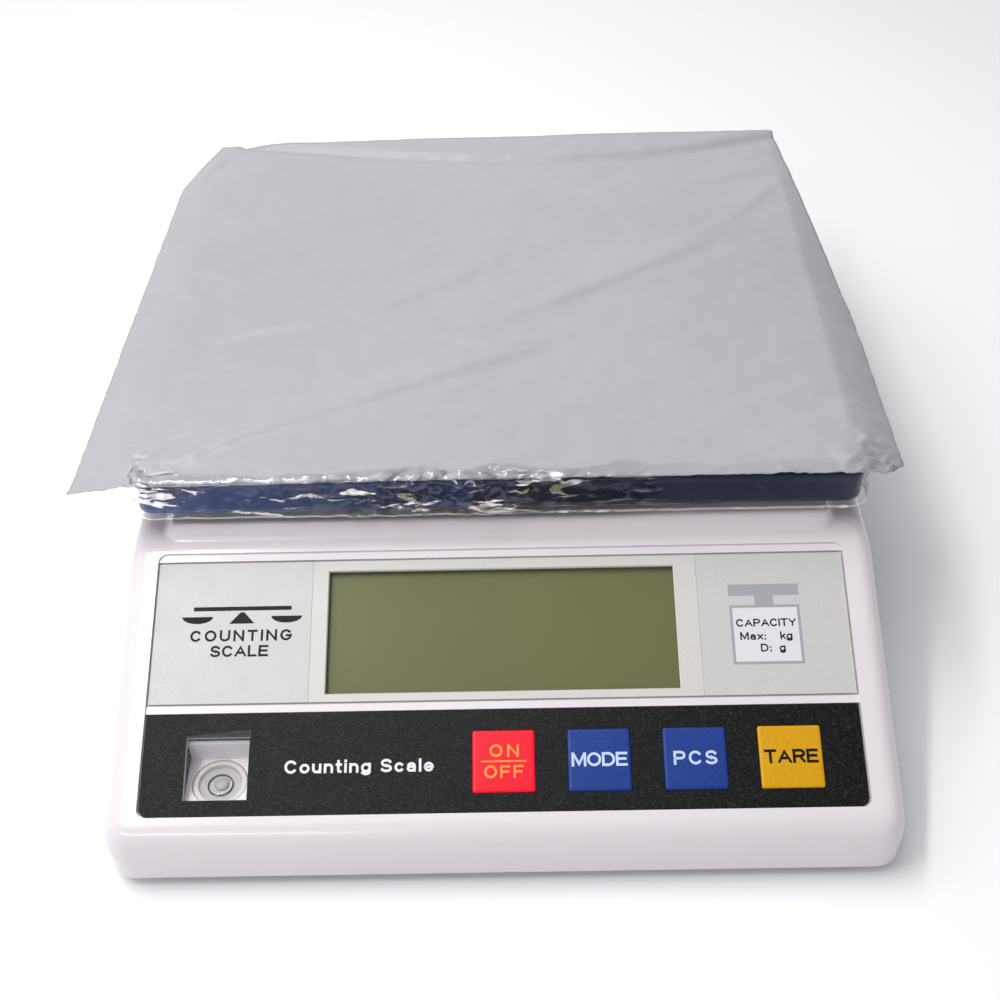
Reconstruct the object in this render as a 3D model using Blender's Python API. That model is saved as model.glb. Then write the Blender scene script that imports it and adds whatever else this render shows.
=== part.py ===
"""A counting scale: white housing with a sloping keypad, and a pan that is still in its wrapping.

Lengths are in metres. Each piece is placed in a design frame whose Y starts at the front face of the
housing and whose Z starts at the surface the scale stands on. The empty "scale" then moves that frame so
that the origin is below the middle of the whole object. X runs to the right, Y to the back, Z up.
"""

import math

import bmesh
import bpy
from mathutils import Matrix, Vector

GAP = 0.0003  # between pieces that touch
REACH = 0.010  # how far a cutter runs past what it cuts

# Housing
WIDTH = 0.255
DEPTH = 0.318
BASE_Z = 0.004  # lower edge of both housings
WALL = 0.003
CORNER_RADIUS = 0.009
TOP_RADIUS = 0.0065
FRONT_RADIUS = 0.009
LEDGE_Z = 0.060  # flat rim round the plateau
PLATEAU_Z = 0.065
PLATEAU_SIZE = (0.234, 0.213)
PLATEAU_FRONT = 0.097
PLATEAU_CORNER = 0.007
PLATEAU_EDGE = 0.004

# Sloping panel: u runs along X, v up the slope from the lower edge of the overlays, n leaves the panel
SLOPE = math.radians(23)
PANEL_ORIGIN = Vector((0, 0.010, 0.0236))
PANEL_HALF = 0.1165
PANEL_TOP = 0.0895
RECESS = 0.0008
SHEET = 0.0005  # overlays, labels and bezel
KEY_FIELD_TOP = 0.0334
DISPLAY_FIELD = (0.0365, 0.0863)
BEZEL_U = (-0.0635, 0.0665)
DISPLAY_U = (-0.0578, 0.0587)
DISPLAY_V = (0.0396, 0.0823)
KEYS = {"key_on_off": 0.0005, "key_mode": 0.0312, "key_count": 0.0619, "key_tare": 0.0925}
KEY_V = 0.0162
KEY_SIZE = 0.02015
KEY_PROUD = 0.0005
LEVEL_U = (-0.1022, -0.0817)
LEVEL_V = (0.0052, 0.0256)
LEVEL_CENTRE = Vector((-0.0919, 0.024, 0))
LEVEL_RADIUS = 0.0088
LEVEL_TOP = 0.023
LEVEL_HOLDER_Z = (0.014, 0.0223)
LEVEL_HOLDER_Y = (0.0136, 0.0347)
LEVEL_BACK = (0.0015, 0.0306)  # thickness and top of the wall behind the vial
BOARD_TOP = -0.009
BOARD_THICKNESS = 0.0016
LCD_BOX = ((-0.061, 0.062), (0.0375, 0.0845))
LCD_TOP = -0.0025
LCD_THICKNESS = 0.0028

# Pan and its wrapping
PAN_SIZE = (0.248, 0.2118)  # over the blue film
PAN_FRONT = 0.101
PAN_BOTTOM = 0.0696
FILM_TOP = 0.0825
FILM = 0.0003
PAN_SHEET = 0.001
PAN_CORNER = 0.006
PAN_BEND = 0.002
WRAP_TOP = 0.0832
WRAP = 0.0004
WRAP_OUTLINE = (
    (-0.140, 0.098), (-0.125, 0.097), (0.122, 0.095), (0.134, 0.104), (0.140, 0.117),
    (0.1245, 0.326), (-0.1245, 0.326), (-0.137, 0.284), (-0.138, 0.110),
)
WRAPPED_DEPTH = 0.326

# Weighing works
CELL_CENTRE = Vector((0, 0.206, 0.0286))
CELL_SIZE = Vector((0.030, 0.130, 0.022))
POST_X, POST_Y = 0.085, 0.065  # from the middle of the cell
POSTS = [(x, CELL_CENTRE.y + y) for x in (-POST_X, POST_X) for y in (-POST_Y, POST_Y)]
POST_RADIUS = 0.006
POST_HOLE = 0.009
SPIDER_Z = (0.050, 0.056)
POST_TOP = 0.0753
PAD_TOP = 0.0806
PAD_RADIUS = 0.008
TOP_SCREWS_Y = (0.148, 0.160)
BASE_SCREWS_Y = (0.252, 0.264)
TOP_BLOCK_Y = (0.142, 0.166)
BASE_BLOCK_Y = (0.246, 0.270)
CELL_SCREW = 0.0027
CELL_SCREW_HOLE = 0.003
CELL_HEAD = 0.005
CELL_HEAD_HEIGHT = 0.0035
CELL_BORE = 0.007
CELL_BORE_Y = 0.014  # of each bore from the middle of the cell
CELL_BLOCK_X = (-0.015, 0.015)
STOP = (0, 0.150)  # overload stop
STOP_RADIUS = 0.003

# Base
BASE_SHEET = 0.003
PAD_Z = 0.012  # top of the raised pads inside the base
RIM_HEIGHT = 0.011
RIM_SHEET = 0.002
BASE_GAP = 0.0004
FEET = [(x, y) for x in (-0.105, 0.105) for y in (0.044, 0.286)]
FOOT_POCKET = 0.014
POCKET_Z = 0.009
WHEEL_RADIUS = 0.012
WHEEL_Z = (0.0023, 0.0083)
FLUTE_DEPTH = 0.0007
FOOT_PAD_RADIUS = 0.009
STUD_RADIUS = 0.003
STUD_TOP = 0.024
NUT_RADIUS = 0.006
NUT_Z = (0.0123, 0.0183)
CASE_SCREWS = [(x, y) for x in (-0.1193, 0.1193) for y in (0.074, 0.250)]
CASE_SCREW_HOLE = 0.0017
CASE_HEAD_HOLE = 0.0033
BATTERY_BOX = ((-0.118, -0.067), (0.140, 0.237), (0.007, 0.031))
BATTERY_MARGIN = 0.001  # of the opening in the base round the battery
JACK = Vector((0.085, DEPTH, 0.022))
JACK_RADIUS = 0.004

COLOURS = {
    "white_abs": ((0.83, 0.79, 0.82), 0.25, 0.0, 1.0),
    "grey_label": ((0.62, 0.64, 0.64), 0.45, 0.0, 1.0),
    "black_overlay": ((0.015, 0.015, 0.017), 0.45, 0.0, 1.0),
    "key_red": ((0.80, 0.02, 0.05), 0.45, 0.0, 1.0),
    "key_blue": ((0.02, 0.09, 0.40), 0.45, 0.0, 1.0),
    "key_yellow": ((0.88, 0.55, 0.01), 0.45, 0.0, 1.0),
    "lcd": ((0.16, 0.16, 0.07), 0.2, 0.0, 1.0),
    "clear": ((0.9, 0.92, 0.92), 0.1, 0.0, 0.25),
    "light_plastic": ((0.75, 0.76, 0.74), 0.4, 0.0, 1.0),
    "board_green": ((0.02, 0.16, 0.06), 0.4, 0.0, 1.0),
    "black_plastic": ((0.02, 0.02, 0.02), 0.5, 0.0, 1.0),
    "rubber": ((0.03, 0.03, 0.03), 0.8, 0.0, 1.0),
    "steel": ((0.62, 0.62, 0.63), 0.3, 1.0, 1.0),
    "aluminium": ((0.72, 0.73, 0.74), 0.35, 1.0, 1.0),
    "brass": ((0.75, 0.55, 0.25), 0.3, 1.0, 1.0),
    "blue_film": ((0.03, 0.05, 0.22), 0.15, 0.0, 1.0),
    "milky_film": ((0.62, 0.65, 0.68), 0.4, 0.0, 1.0),
}


# ---- helpers -------------------------------------------------------------------------------------

def remove_all():
    for obj in list(bpy.data.objects):
        bpy.data.objects.remove(obj, do_unlink=True)


def finish_of(name):
    """The Principled material of that name, made on first use."""
    made = bpy.data.materials.get(name)
    if made:
        return made
    colour, roughness, metallic, alpha = COLOURS[name]
    made = bpy.data.materials.new(name)
    made.use_nodes = True
    shader = made.node_tree.nodes["Principled BSDF"]
    shader.inputs["Base Color"].default_value = (*colour, 1)
    shader.inputs["Roughness"].default_value = roughness
    shader.inputs["Metallic"].default_value = metallic
    shader.inputs["Alpha"].default_value = alpha
    return made


def place(obj, parent, location=(0, 0, 0)):
    bpy.context.scene.collection.objects.link(obj)
    obj.parent = parent
    obj.location = location
    return obj


def solid(name, bm, finish, parent, location=(0, 0, 0)):
    """A sub-part from a bmesh, which is used up."""
    mesh = bpy.data.meshes.new(name)
    bmesh.ops.recalc_face_normals(bm, faces=bm.faces)
    bm.to_mesh(mesh)
    bm.free()
    mesh.shade_smooth()
    mesh.set_sharp_from_angle(angle=math.radians(35))
    mesh.materials.append(finish_of(finish))
    return place(bpy.data.objects.new(name, mesh), parent, location)


def shape_with(obj, operation, shapes):
    """Adds the shapes to the object (UNION) or cuts them out of it (DIFFERENCE)."""
    tool = bpy.data.meshes.new(obj.name + "_tool")
    together = bmesh.new()
    for shape in shapes:
        bmesh.ops.recalc_face_normals(shape, faces=shape.faces)
        part = bpy.data.meshes.new("shape")
        shape.to_mesh(part)
        shape.free()
        together.from_mesh(part)
        bpy.data.meshes.remove(part)
    together.to_mesh(tool)
    together.free()
    guide = place(bpy.data.objects.new(tool.name, tool), obj.parent, obj.location)
    guide.hide_render = True
    guide.display_type = "WIRE"
    boolean = obj.modifiers.new(operation.title(), "BOOLEAN")
    boolean.operation = operation
    boolean.solver = "EXACT"
    boolean.object = guide


def add(obj, *shapes):
    shape_with(obj, "UNION", shapes)


def cut(obj, *shapes):
    shape_with(obj, "DIFFERENCE", shapes)


def loft(rings):
    """A closed solid through rings that all have the same number of points, capped at both ends."""
    bm = bmesh.new()
    loops = [[bm.verts.new(point) for point in ring] for ring in rings]
    count = len(loops[0])
    for low, high in zip(loops, loops[1:]):
        for i in range(count):
            j = (i + 1) % count
            bm.faces.new((low[i], low[j], high[j], high[i]))
    bm.faces.new(loops[0][::-1])
    bm.faces.new(loops[-1])
    return bm


def arc(centre, radius, start, end, steps):
    """Points on an arc, angles in degrees."""
    angles = [math.radians(start + (end - start) * i / steps) for i in range(steps + 1)]
    return [(centre[0] + radius * math.cos(a), centre[1] + radius * math.sin(a)) for a in angles]


def rounded_rectangle(x_range, y_range, radius, steps=4):
    x0, x1 = x_range
    y0, y1 = y_range
    corners = ((x1 - radius, y0 + radius, -90), (x1 - radius, y1 - radius, 0),
               (x0 + radius, y1 - radius, 90), (x0 + radius, y0 + radius, 180))
    return [p for x, y, a in corners for p in arc((x, y), radius, a, a + 90, steps)]


def prism(outline, z_range):
    return loft([[(x, y, z) for x, y in outline] for z in z_range])


def block(x_range, y_range, z_range):
    (x0, x1), (y0, y1) = x_range, y_range
    return prism([(x0, y0), (x1, y0), (x1, y1), (x0, y1)], z_range)


def plate(x_range, y_range, z_range, radius, steps=4):
    return prism(rounded_rectangle(x_range, y_range, radius, steps), z_range)


def turned(profile, sides=24, centre=(0, 0)):
    """A solid of revolution about Z through the (radius, z) points of the profile, from bottom to top."""
    angles = [2 * math.pi * i / sides for i in range(sides)]
    return loft([[(centre[0] + r * math.cos(a), centre[1] + r * math.sin(a), z) for a in angles]
                 for r, z in profile])


def rod(radius, z_range, centre=(0, 0), sides=16):
    return turned([(radius, z) for z in z_range], sides, centre)


def along_y(bm, location=(0, 0, 0)):
    """Lays a shape that was made along Z down along Y."""
    bm.transform(Matrix.Translation(location) @ Matrix.Rotation(math.radians(-90), 4, "X"))
    return bm


def along_x(bm, location=(0, 0, 0)):
    bm.transform(Matrix.Translation(location) @ Matrix.Rotation(math.radians(90), 4, "Y"))
    return bm


def on_panel(bm):
    """Moves a shape made in the panel's u, v, n into the design frame."""
    bm.transform(Matrix.Translation(PANEL_ORIGIN) @ Matrix.Rotation(SLOPE, 4, "X"))
    return bm


def grown(span, by):
    return span[0] - by, span[1] + by


def centred(middle, size):
    return middle - size / 2, middle + size / 2


# ---- housing -------------------------------------------------------------------------------------

def side_profile(top_inset, end_inset, front_radius, back_radius, bottom_z):
    """The housing's outline seen from the side, pulled in by the insets, from the front to the back."""
    sin, cos = math.sin(SLOPE), math.cos(SLOPE)
    reach = -sin * PANEL_ORIGIN.y + cos * PANEL_ORIGIN.z + RECESS - top_inset
    centre_y = end_inset + front_radius
    centre_z = (reach - front_radius + sin * centre_y) / cos
    ledge = LEDGE_Z - top_inset
    crease = (ledge * cos - reach) / sin
    back = DEPTH - end_inset
    front_arc = arc((centre_y, centre_z), front_radius, 180, 90 + math.degrees(SLOPE), 6)
    back_arc = arc((back - back_radius, ledge - back_radius), back_radius, 90, 0, 4)
    return [(end_inset, bottom_z), *front_arc, (crease, ledge), *back_arc, (back, bottom_z)]


def housing_body(inset, bottom_z):
    """The housing's plain body: sections along X that shrink towards the sides to round their edges."""
    half = WIDTH / 2 - inset
    corner, edge = CORNER_RADIUS - inset, TOP_RADIUS - inset
    turns = [math.radians(15 * i) for i in range(7)]
    from_side = [corner * (1 - math.cos(t)) for t in turns]
    sections = []
    for s, t in zip(from_side, turns):
        end = inset + corner * (1 - math.sin(t))
        top = inset + (edge - math.sqrt(edge ** 2 - (edge - s) ** 2) if s < edge else 0)
        sections.append((s, side_profile(top, end, FRONT_RADIUS - inset, TOP_RADIUS - inset, bottom_z)))
    left = [[(-half + s, y, z) for y, z in points] for s, points in sections]
    right = [[(half - s, y, z) for y, z in points] for s, points in reversed(sections)]
    return loft(left + right)


def plateau_body(inset, bottom_z):
    x_range = centred(0, PLATEAU_SIZE[0] - 2 * inset)
    y_range = (PLATEAU_FRONT + inset, PLATEAU_FRONT + PLATEAU_SIZE[1] - inset)
    top = PLATEAU_Z - inset
    edge = PLATEAU_EDGE - inset
    rings = [(bottom_z, 0.0)]
    rings += [(top - edge + edge * math.sin(t), edge * (1 - math.cos(t)))
              for t in (math.radians(22.5 * i) for i in range(5))]
    return loft([[(x, y, z) for x, y in rounded_rectangle(grown(x_range, -pull), grown(y_range, -pull),
                                                          PLATEAU_CORNER - inset - pull)]
                 for z, pull in rings])


def upper_housing(parent):
    shell = solid("upper_housing", housing_body(0, BASE_Z), "white_abs", parent)
    add(shell, plateau_body(0, LEDGE_Z - 0.002))
    cut(shell, housing_body(WALL, BASE_Z - REACH))
    cut(shell, plateau_body(WALL, LEDGE_Z - REACH))
    boss_tops = {CASE_SCREWS[0][1]: 0.0475, CASE_SCREWS[1][1]: LEDGE_Z - WALL / 2}
    add(shell, *[rod(0.0055, (0.017, boss_tops[y]), (x, y)) for x, y in CASE_SCREWS])
    cut(shell, *[rod(CASE_SCREW_HOLE, (0.010, 0.032), centre, 12) for centre in CASE_SCREWS])
    field = plate(centred(0, 2 * PANEL_HALF), (-GAP, PANEL_TOP), (0, REACH), 0.003)
    cut(shell, on_panel(field))
    depth = -SHEET - GAP
    keys = plate(centred(0, 2 * PANEL_HALF), (-GAP, KEY_FIELD_TOP + GAP), (depth, REACH), 0.003)
    display = plate(centred(0, 2 * PANEL_HALF), grown(DISPLAY_FIELD, GAP), (depth, REACH), 0.0005, 1)
    cut(shell, on_panel(keys), on_panel(display))
    through = (-REACH, REACH)
    windows = [block(centred(u, KEY_SIZE + 2 * GAP), centred(KEY_V, KEY_SIZE + 2 * GAP), through)
               for u in KEYS.values()]
    windows.append(block(grown(DISPLAY_U, 0.0005), grown(DISPLAY_V, 0.0005), through))
    windows.append(block(grown(LEVEL_U, 0.0001), grown(LEVEL_V, 0.0001), (-0.006, REACH)))
    cut(shell, *[on_panel(window) for window in windows])
    cut(shell, *[rod(POST_HOLE, (PLATEAU_Z - REACH, PLATEAU_Z + REACH), post) for post in POSTS])
    cut(shell, along_y(rod(JACK_RADIUS + GAP, (-REACH, REACH)), JACK))


def lower_housing(parent):
    x_range = centred(0, WIDTH - 2 * (WALL + BASE_GAP))
    y_range = (WALL + BASE_GAP, DEPTH - WALL - BASE_GAP)
    corner = CORNER_RADIUS - WALL - BASE_GAP
    floor = BASE_Z + BASE_SHEET
    top = BASE_Z + RIM_HEIGHT
    tray = solid("lower_housing", plate(x_range, y_range, (BASE_Z, top), corner), "white_abs", parent)
    cut(tray, plate(grown(x_range, -RIM_SHEET), grown(y_range, -RIM_SHEET), (floor, top + REACH),
                    corner - RIM_SHEET))
    sunk = floor - BASE_SHEET / 2
    over = NUT_Z[1] + REACH
    base_screws = [(0, y) for y in BASE_SCREWS_Y]
    add(tray, *[rod(FOOT_POCKET + 0.0025, (sunk, PAD_Z), foot) for foot in FEET])
    add(tray, *[rod(0.009, (PAD_Z - 0.001, NUT_Z[1]), foot) for foot in FEET],
        *[rod(0.0045, (sunk, 0.0167), screw) for screw in CASE_SCREWS])
    cell_foot = block(grown(CELL_BLOCK_X, 0.001), grown(BASE_BLOCK_Y, 0.001), (sunk, PAD_Z))
    level_seat = rod(0.0085, (sunk, 0.0137), LEVEL_CENTRE)
    add(tray, level_seat, cell_foot, rod(2 * STOP_RADIUS, (sunk, PAD_Z), STOP))
    cut(tray, *[rod(FOOT_POCKET, (0, POCKET_Z), foot, 24) for foot in FEET])
    cut(tray, *[rod(STUD_RADIUS + 0.0004, (0, over), foot) for foot in FEET],
        *[rod(CASE_SCREW_HOLE, (0, over), screw, 12) for screw in CASE_SCREWS],
        *[rod(CELL_SCREW_HOLE, (0, over), screw) for screw in base_screws],
        rod(STOP_RADIUS + GAP, (0, over), STOP))
    cut(tray, *[rod(NUT_RADIUS + GAP, (PAD_Z, over), foot) for foot in FEET],
        *[rod(CASE_HEAD_HOLE, (0, 0.0110), screw) for screw in CASE_SCREWS],
        *[rod(CELL_HEAD + GAP, (0, 0.0083), screw) for screw in base_screws])
    x_range, y_range, z_range = BATTERY_BOX
    opening = (0, z_range[0] + BATTERY_MARGIN)
    cut(tray, block(grown(x_range, BATTERY_MARGIN), grown(y_range, BATTERY_MARGIN), opening))


# ---- sloping panel -------------------------------------------------------------------------------

def panel_sheets(panel):
    """The printed sheets in the two fields of the panel, and the bezel round the display."""
    sides = (-PANEL_HALF + 2 * GAP, PANEL_HALF - 2 * GAP)
    keys = plate(sides, (0, KEY_FIELD_TOP), (-SHEET, 0), 0.003)
    keys = solid("key_overlay", keys, "black_overlay", panel)
    holes = [block(centred(u, KEY_SIZE + 2 * GAP), centred(KEY_V, KEY_SIZE + 2 * GAP), (-REACH, REACH))
             for u in KEYS.values()]
    cut(keys, *holes, block(LEVEL_U, LEVEL_V, (-REACH, REACH)))
    left, right = (sides[0], BEZEL_U[0] - GAP / 2), (BEZEL_U[1] + GAP / 2, sides[1])
    for name, u_range in (("left_label", left), ("right_label", right)):
        solid(name, block(u_range, DISPLAY_FIELD, (-SHEET, 0)), "grey_label", panel)
    bezel = block(grown(BEZEL_U, -GAP / 2), DISPLAY_FIELD, (-SHEET, 0))
    bezel = solid("display_bezel", bezel, "grey_label", panel)
    cut(bezel, block(DISPLAY_U, DISPLAY_V, (-REACH, REACH)))
    window = block(grown(LEVEL_U, -GAP), grown(LEVEL_V, -GAP), (-SHEET + 0.0001, -0.0001))
    solid("level_window", window, "clear", panel)


def key(name, u, finish, panel):
    """A key with a stem below it, its origin at the middle of its top."""
    half = centred(0, KEY_SIZE)
    face = loft([[(x, y, z) for x, y in rounded_rectangle(grown(half, -pull), grown(half, -pull), 0.0006, 2)]
                 for z, pull in ((-0.002, 0), (-0.0002, 0), (0, 0.0002))])
    made = solid(name, face, finish, panel, (u, KEY_V, KEY_PROUD))
    add(made, rod(0.003, (-0.0057, -0.0015), sides=16))


def key_switch(name, u, panel):
    body = solid(name, block(centred(0, 0.006), centred(0, 0.006), (0, 0.0022)), "black_plastic", panel,
                 (u, KEY_V, BOARD_TOP + GAP))
    add(body, rod(0.0017, (0.0015, 0.0028), sides=12))


def display_unit(panel):
    u_range, v_range = LCD_BOX
    solid("lcd_glass", block(u_range, v_range, (LCD_TOP - LCD_THICKNESS, LCD_TOP)), "lcd", panel)
    light_top = LCD_TOP - LCD_THICKNESS - GAP
    light_bottom = BOARD_TOP + GAP
    solid("backlight", block(u_range, v_range, (light_bottom, light_top)), "light_plastic", panel)
    frame = block(grown(u_range, 0.003), grown(v_range, 0.003), (light_bottom, LCD_TOP))
    frame = solid("lcd_frame", frame, "black_plastic", panel)
    cut(frame, block(grown(u_range, GAP), grown(v_range, GAP), (-2 * REACH, REACH)))
    board = block((-0.076, 0.108), (0.004, 0.088), (BOARD_TOP - BOARD_THICKNESS, BOARD_TOP))
    solid("main_board", board, "board_green", panel)


def bubble_level(parent):
    """A round vial in a holder that closes the square well below the window in the key overlay."""
    floor = LEVEL_TOP - 0.0067
    wall = 0.0015
    thickness, back_top = LEVEL_BACK
    width = grown(LEVEL_U, 0.0005)
    holder = solid("level_holder", block(width, LEVEL_HOLDER_Y, LEVEL_HOLDER_Z), "white_abs", parent)
    add(holder, block(grown(width, -GAP), (LEVEL_HOLDER_Y[1] - thickness, LEVEL_HOLDER_Y[1] - 0.0001),
                      (LEVEL_HOLDER_Z[1] - 0.001, back_top)))
    cut(holder, rod(LEVEL_RADIUS + GAP, (floor - GAP, back_top), LEVEL_CENTRE, 32))
    lens_bottom = LEVEL_TOP - 0.0007
    rim = lens_bottom - GAP
    cup = rod(LEVEL_RADIUS, (floor, rim), sides=32)
    cup = solid("level_cup", cup, "light_plastic", parent, LEVEL_CENTRE)
    cut(cup, rod(LEVEL_RADIUS - wall, (floor + wall, rim + REACH), sides=32))
    lens = rod(LEVEL_RADIUS, (lens_bottom, LEVEL_TOP), sides=32)
    solid("level_lens", lens, "clear", parent, LEVEL_CENTRE)


# ---- pan -----------------------------------------------------------------------------------------

def pan_body(inset, top, bottom, bend):
    """A box with rounded corners and a rounded upper edge, inset from the size over the film."""
    x_range = centred(0, PAN_SIZE[0] - 2 * inset)
    y_range = (PAN_FRONT + inset, PAN_FRONT + PAN_SIZE[1] - inset)
    rings = [(bottom, 0.0)]
    rings += [(top - bend + bend * math.sin(t), bend * (1 - math.cos(t)))
              for t in (math.radians(30 * i) for i in range(4))]
    return loft([[(x, y, z) for x, y in rounded_rectangle(grown(x_range, -pull), grown(y_range, -pull),
                                                          PAN_CORNER - inset - pull)]
                 for z, pull in rings])


def pan_and_wrapping(parent):
    inset = FILM + GAP
    top = FILM_TOP - FILM - GAP
    pan = solid("weighing_pan", pan_body(inset, top, PAN_BOTTOM, PAN_BEND), "steel", parent)
    cut(pan, pan_body(inset + PAN_SHEET, top - PAN_SHEET, PAN_BOTTOM - REACH, PAN_BEND - PAN_SHEET))
    film = pan_body(0, FILM_TOP, PAN_BOTTOM + 0.0005, PAN_BEND + FILM + GAP)
    film = solid("pan_film", film, "blue_film", parent)
    cut(film, pan_body(FILM, FILM_TOP - FILM, PAN_BOTTOM - REACH, PAN_BEND + GAP))
    solid("pan_wrap", prism(WRAP_OUTLINE, (WRAP_TOP - WRAP, WRAP_TOP)), "milky_film", parent)


def pan_pad(name, post, parent):
    profile = [(POST_RADIUS, POST_TOP + GAP), (PAD_RADIUS, POST_TOP + 0.001), (PAD_RADIUS, PAD_TOP - 0.001),
               (PAD_RADIUS - 0.001, PAD_TOP)]
    solid(name, turned(profile, 20), "rubber", parent, (*post, 0))


# ---- weighing works ------------------------------------------------------------------------------

def load_cell(parent):
    """A beam with the two joined bores that let it bend in the middle."""
    x_half, y_half, z_half = CELL_SIZE / 2
    beam = block((-x_half, x_half), (-y_half, y_half), (-z_half, z_half))
    beam = solid("load_cell", beam, "aluminium", parent, CELL_CENTRE)
    across = grown((-x_half, x_half), REACH)
    cut(beam, *[along_x(rod(CELL_BORE, across), (0, y, 0)) for y in (-CELL_BORE_Y, CELL_BORE_Y)])
    cut(beam, block(across, (-CELL_BORE_Y, CELL_BORE_Y), (-0.004, 0.004)))
    y0 = CELL_CENTRE.y
    cut(beam, *[rod(CELL_SCREW_HOLE, (-0.004, REACH + z_half), (0, y - y0)) for y in TOP_SCREWS_Y],
        *[rod(CELL_SCREW_HOLE, (-z_half - REACH, 0.005), (0, y - y0)) for y in BASE_SCREWS_Y])


def cell_screw(name, head_z, tip_z, y, parent):
    """A socket screw whose head starts at head_z and whose shank runs to tip_z."""
    way = math.copysign(1, tip_z - head_z)
    head = CELL_HEAD_HEIGHT * way
    rings = [(CELL_HEAD, 0), (CELL_HEAD, head), (CELL_SCREW, head), (CELL_SCREW, tip_z - head_z)]
    screw = solid(name, turned(rings, 16), "steel", parent, (0, y, head_z))
    socket = sorted((-0.001 * way, 0.002 * way))
    cut(screw, rod(0.0025, socket, sides=6))


def weighing_works(parent):
    cell_bottom = CELL_CENTRE.z - CELL_SIZE.z / 2
    cell_top = CELL_CENTRE.z + CELL_SIZE.z / 2
    base = block(CELL_BLOCK_X, BASE_BLOCK_Y, (PAD_Z + GAP, cell_bottom - GAP))
    base = solid("cell_base_block", base, "steel", parent)
    cut(base, *[rod(CELL_SCREW_HOLE, (0, cell_top), (0, y)) for y in BASE_SCREWS_Y])
    top = block(CELL_BLOCK_X, TOP_BLOCK_Y, (cell_top + GAP, SPIDER_Z[0] - GAP))
    top = solid("cell_top_block", top, "aluminium", parent)
    cut(top, *[rod(CELL_SCREW_HOLE, (cell_bottom, SPIDER_Z[1]), (0, y)) for y in TOP_SCREWS_Y])
    for i, y in enumerate(TOP_SCREWS_Y, 1):
        cell_screw(f"cell_top_screw_{i}", SPIDER_Z[1] + GAP + CELL_HEAD_HEIGHT, 0.026, y, parent)
    for i, y in enumerate(BASE_SCREWS_Y, 1):
        cell_screw(f"cell_base_screw_{i}", 0.0045, 0.031, y, parent)
    stop = turned([(STOP_RADIUS, 0.0075), (STOP_RADIUS, 0.0158), (0.0022, 0.0168)], 16)
    solid("overload_stop", stop, "steel", parent, (*STOP, 0))


def pan_spider(parent):
    middle = CELL_CENTRE.y
    spider = block((-0.020, 0.020), centred(middle, 2 * POST_Y + 0.004), SPIDER_Z)
    spider = solid("pan_spider", spider, "aluminium", parent)
    z_range = grown(SPIDER_Z, -0.0004)
    length = 2 * math.hypot(POST_X, POST_Y) + 0.018
    for turn in (1, -1):
        bar = plate(centred(0, length), centred(0, 0.016), z_range, 0.0079, 6)
        angle = turn * math.atan2(POST_Y, POST_X)
        bar.transform(Matrix.Translation((0, middle, 0)) @ Matrix.Rotation(angle, 4, "Z"))
        add(spider, bar)
    add(spider, *[rod(POST_RADIUS, (SPIDER_Z[0] + 0.001, POST_TOP), post) for post in POSTS])
    cut(spider, *[rod(CELL_SCREW_HOLE, grown(SPIDER_Z, REACH), (0, y)) for y in TOP_SCREWS_Y])


# ---- feet, screws, battery, leads ----------------------------------------------------------------

def foot(number, centre, parent):
    """A levelling foot: rubber pad, screw with a fluted wheel, and the threaded insert it turns in."""
    pad = turned([(FOOT_PAD_RADIUS, 0), (FOOT_PAD_RADIUS, 0.0014), (FOOT_PAD_RADIUS - 0.0006, 0.002)], 24)
    solid(f"foot_pad_{number}", pad, "rubber", parent, (*centre, 0))
    flutes = 16
    rim = [(WHEEL_RADIUS - (FLUTE_DEPTH if i % 2 else 0), math.pi * i / flutes) for i in range(2 * flutes)]
    wheel = prism([(r * math.cos(a), r * math.sin(a)) for r, a in rim], WHEEL_Z)
    screw = solid(f"foot_screw_{number}", wheel, "black_plastic", parent, (*centre, 0))
    add(screw, rod(STUD_RADIUS, (WHEEL_Z[1] - 0.001, STUD_TOP), sides=16))
    nut = solid(f"foot_nut_{number}", rod(NUT_RADIUS, NUT_Z), "brass", parent, (*centre, 0))
    cut(nut, rod(STUD_RADIUS + GAP, (0, 0.030)))


def case_screw(number, centre, parent):
    profile = [(0.003, 0.0084), (0.003, 0.0107), (0.0014, 0.0107), (0.0014, 0.027), (0.0006, 0.029)]
    screw = solid(f"case_screw_{number}", turned(profile, 12), "steel", parent, (*centre, 0))
    for width, length in ((0.0008, 0.0036), (0.0036, 0.0008)):
        cut(screw, block(centred(0, width), centred(0, length), (0.006, 0.0094)))


def power_parts(parent):
    x_range, y_range, z_range = BATTERY_BOX
    solid("battery", plate(x_range, y_range, z_range, 0.002, 2), "black_plastic", parent)
    margin = BATTERY_MARGIN - GAP
    door = plate(grown(x_range, margin), grown(y_range, margin), (BASE_Z, z_range[0] - GAP), 0.001, 2)
    door = solid("battery_door", door, "white_abs", parent)
    middle = sum(x_range) / 2
    grip = plate(centred(middle, 0.020), centred(y_range[1] - 0.008, 0.006), (0, BASE_Z + 0.001), 0.0025)
    cut(door, grip)
    body = block(centred(0, 0.009), centred(0, 0.011), (-0.0173, -WALL - GAP))
    jack = solid("dc_jack", along_y(body), "black_plastic", parent, JACK)
    add(jack, along_y(rod(JACK_RADIUS, (-0.006, -0.0005))))
    cut(jack, along_y(rod(0.00315, (-0.0105, REACH))))
    pin = along_y(turned([(0.001, -0.0102), (0.001, -0.0025), (0.0006, -0.002)], 12))
    solid("jack_pin", pin, "brass", parent, JACK)


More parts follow.
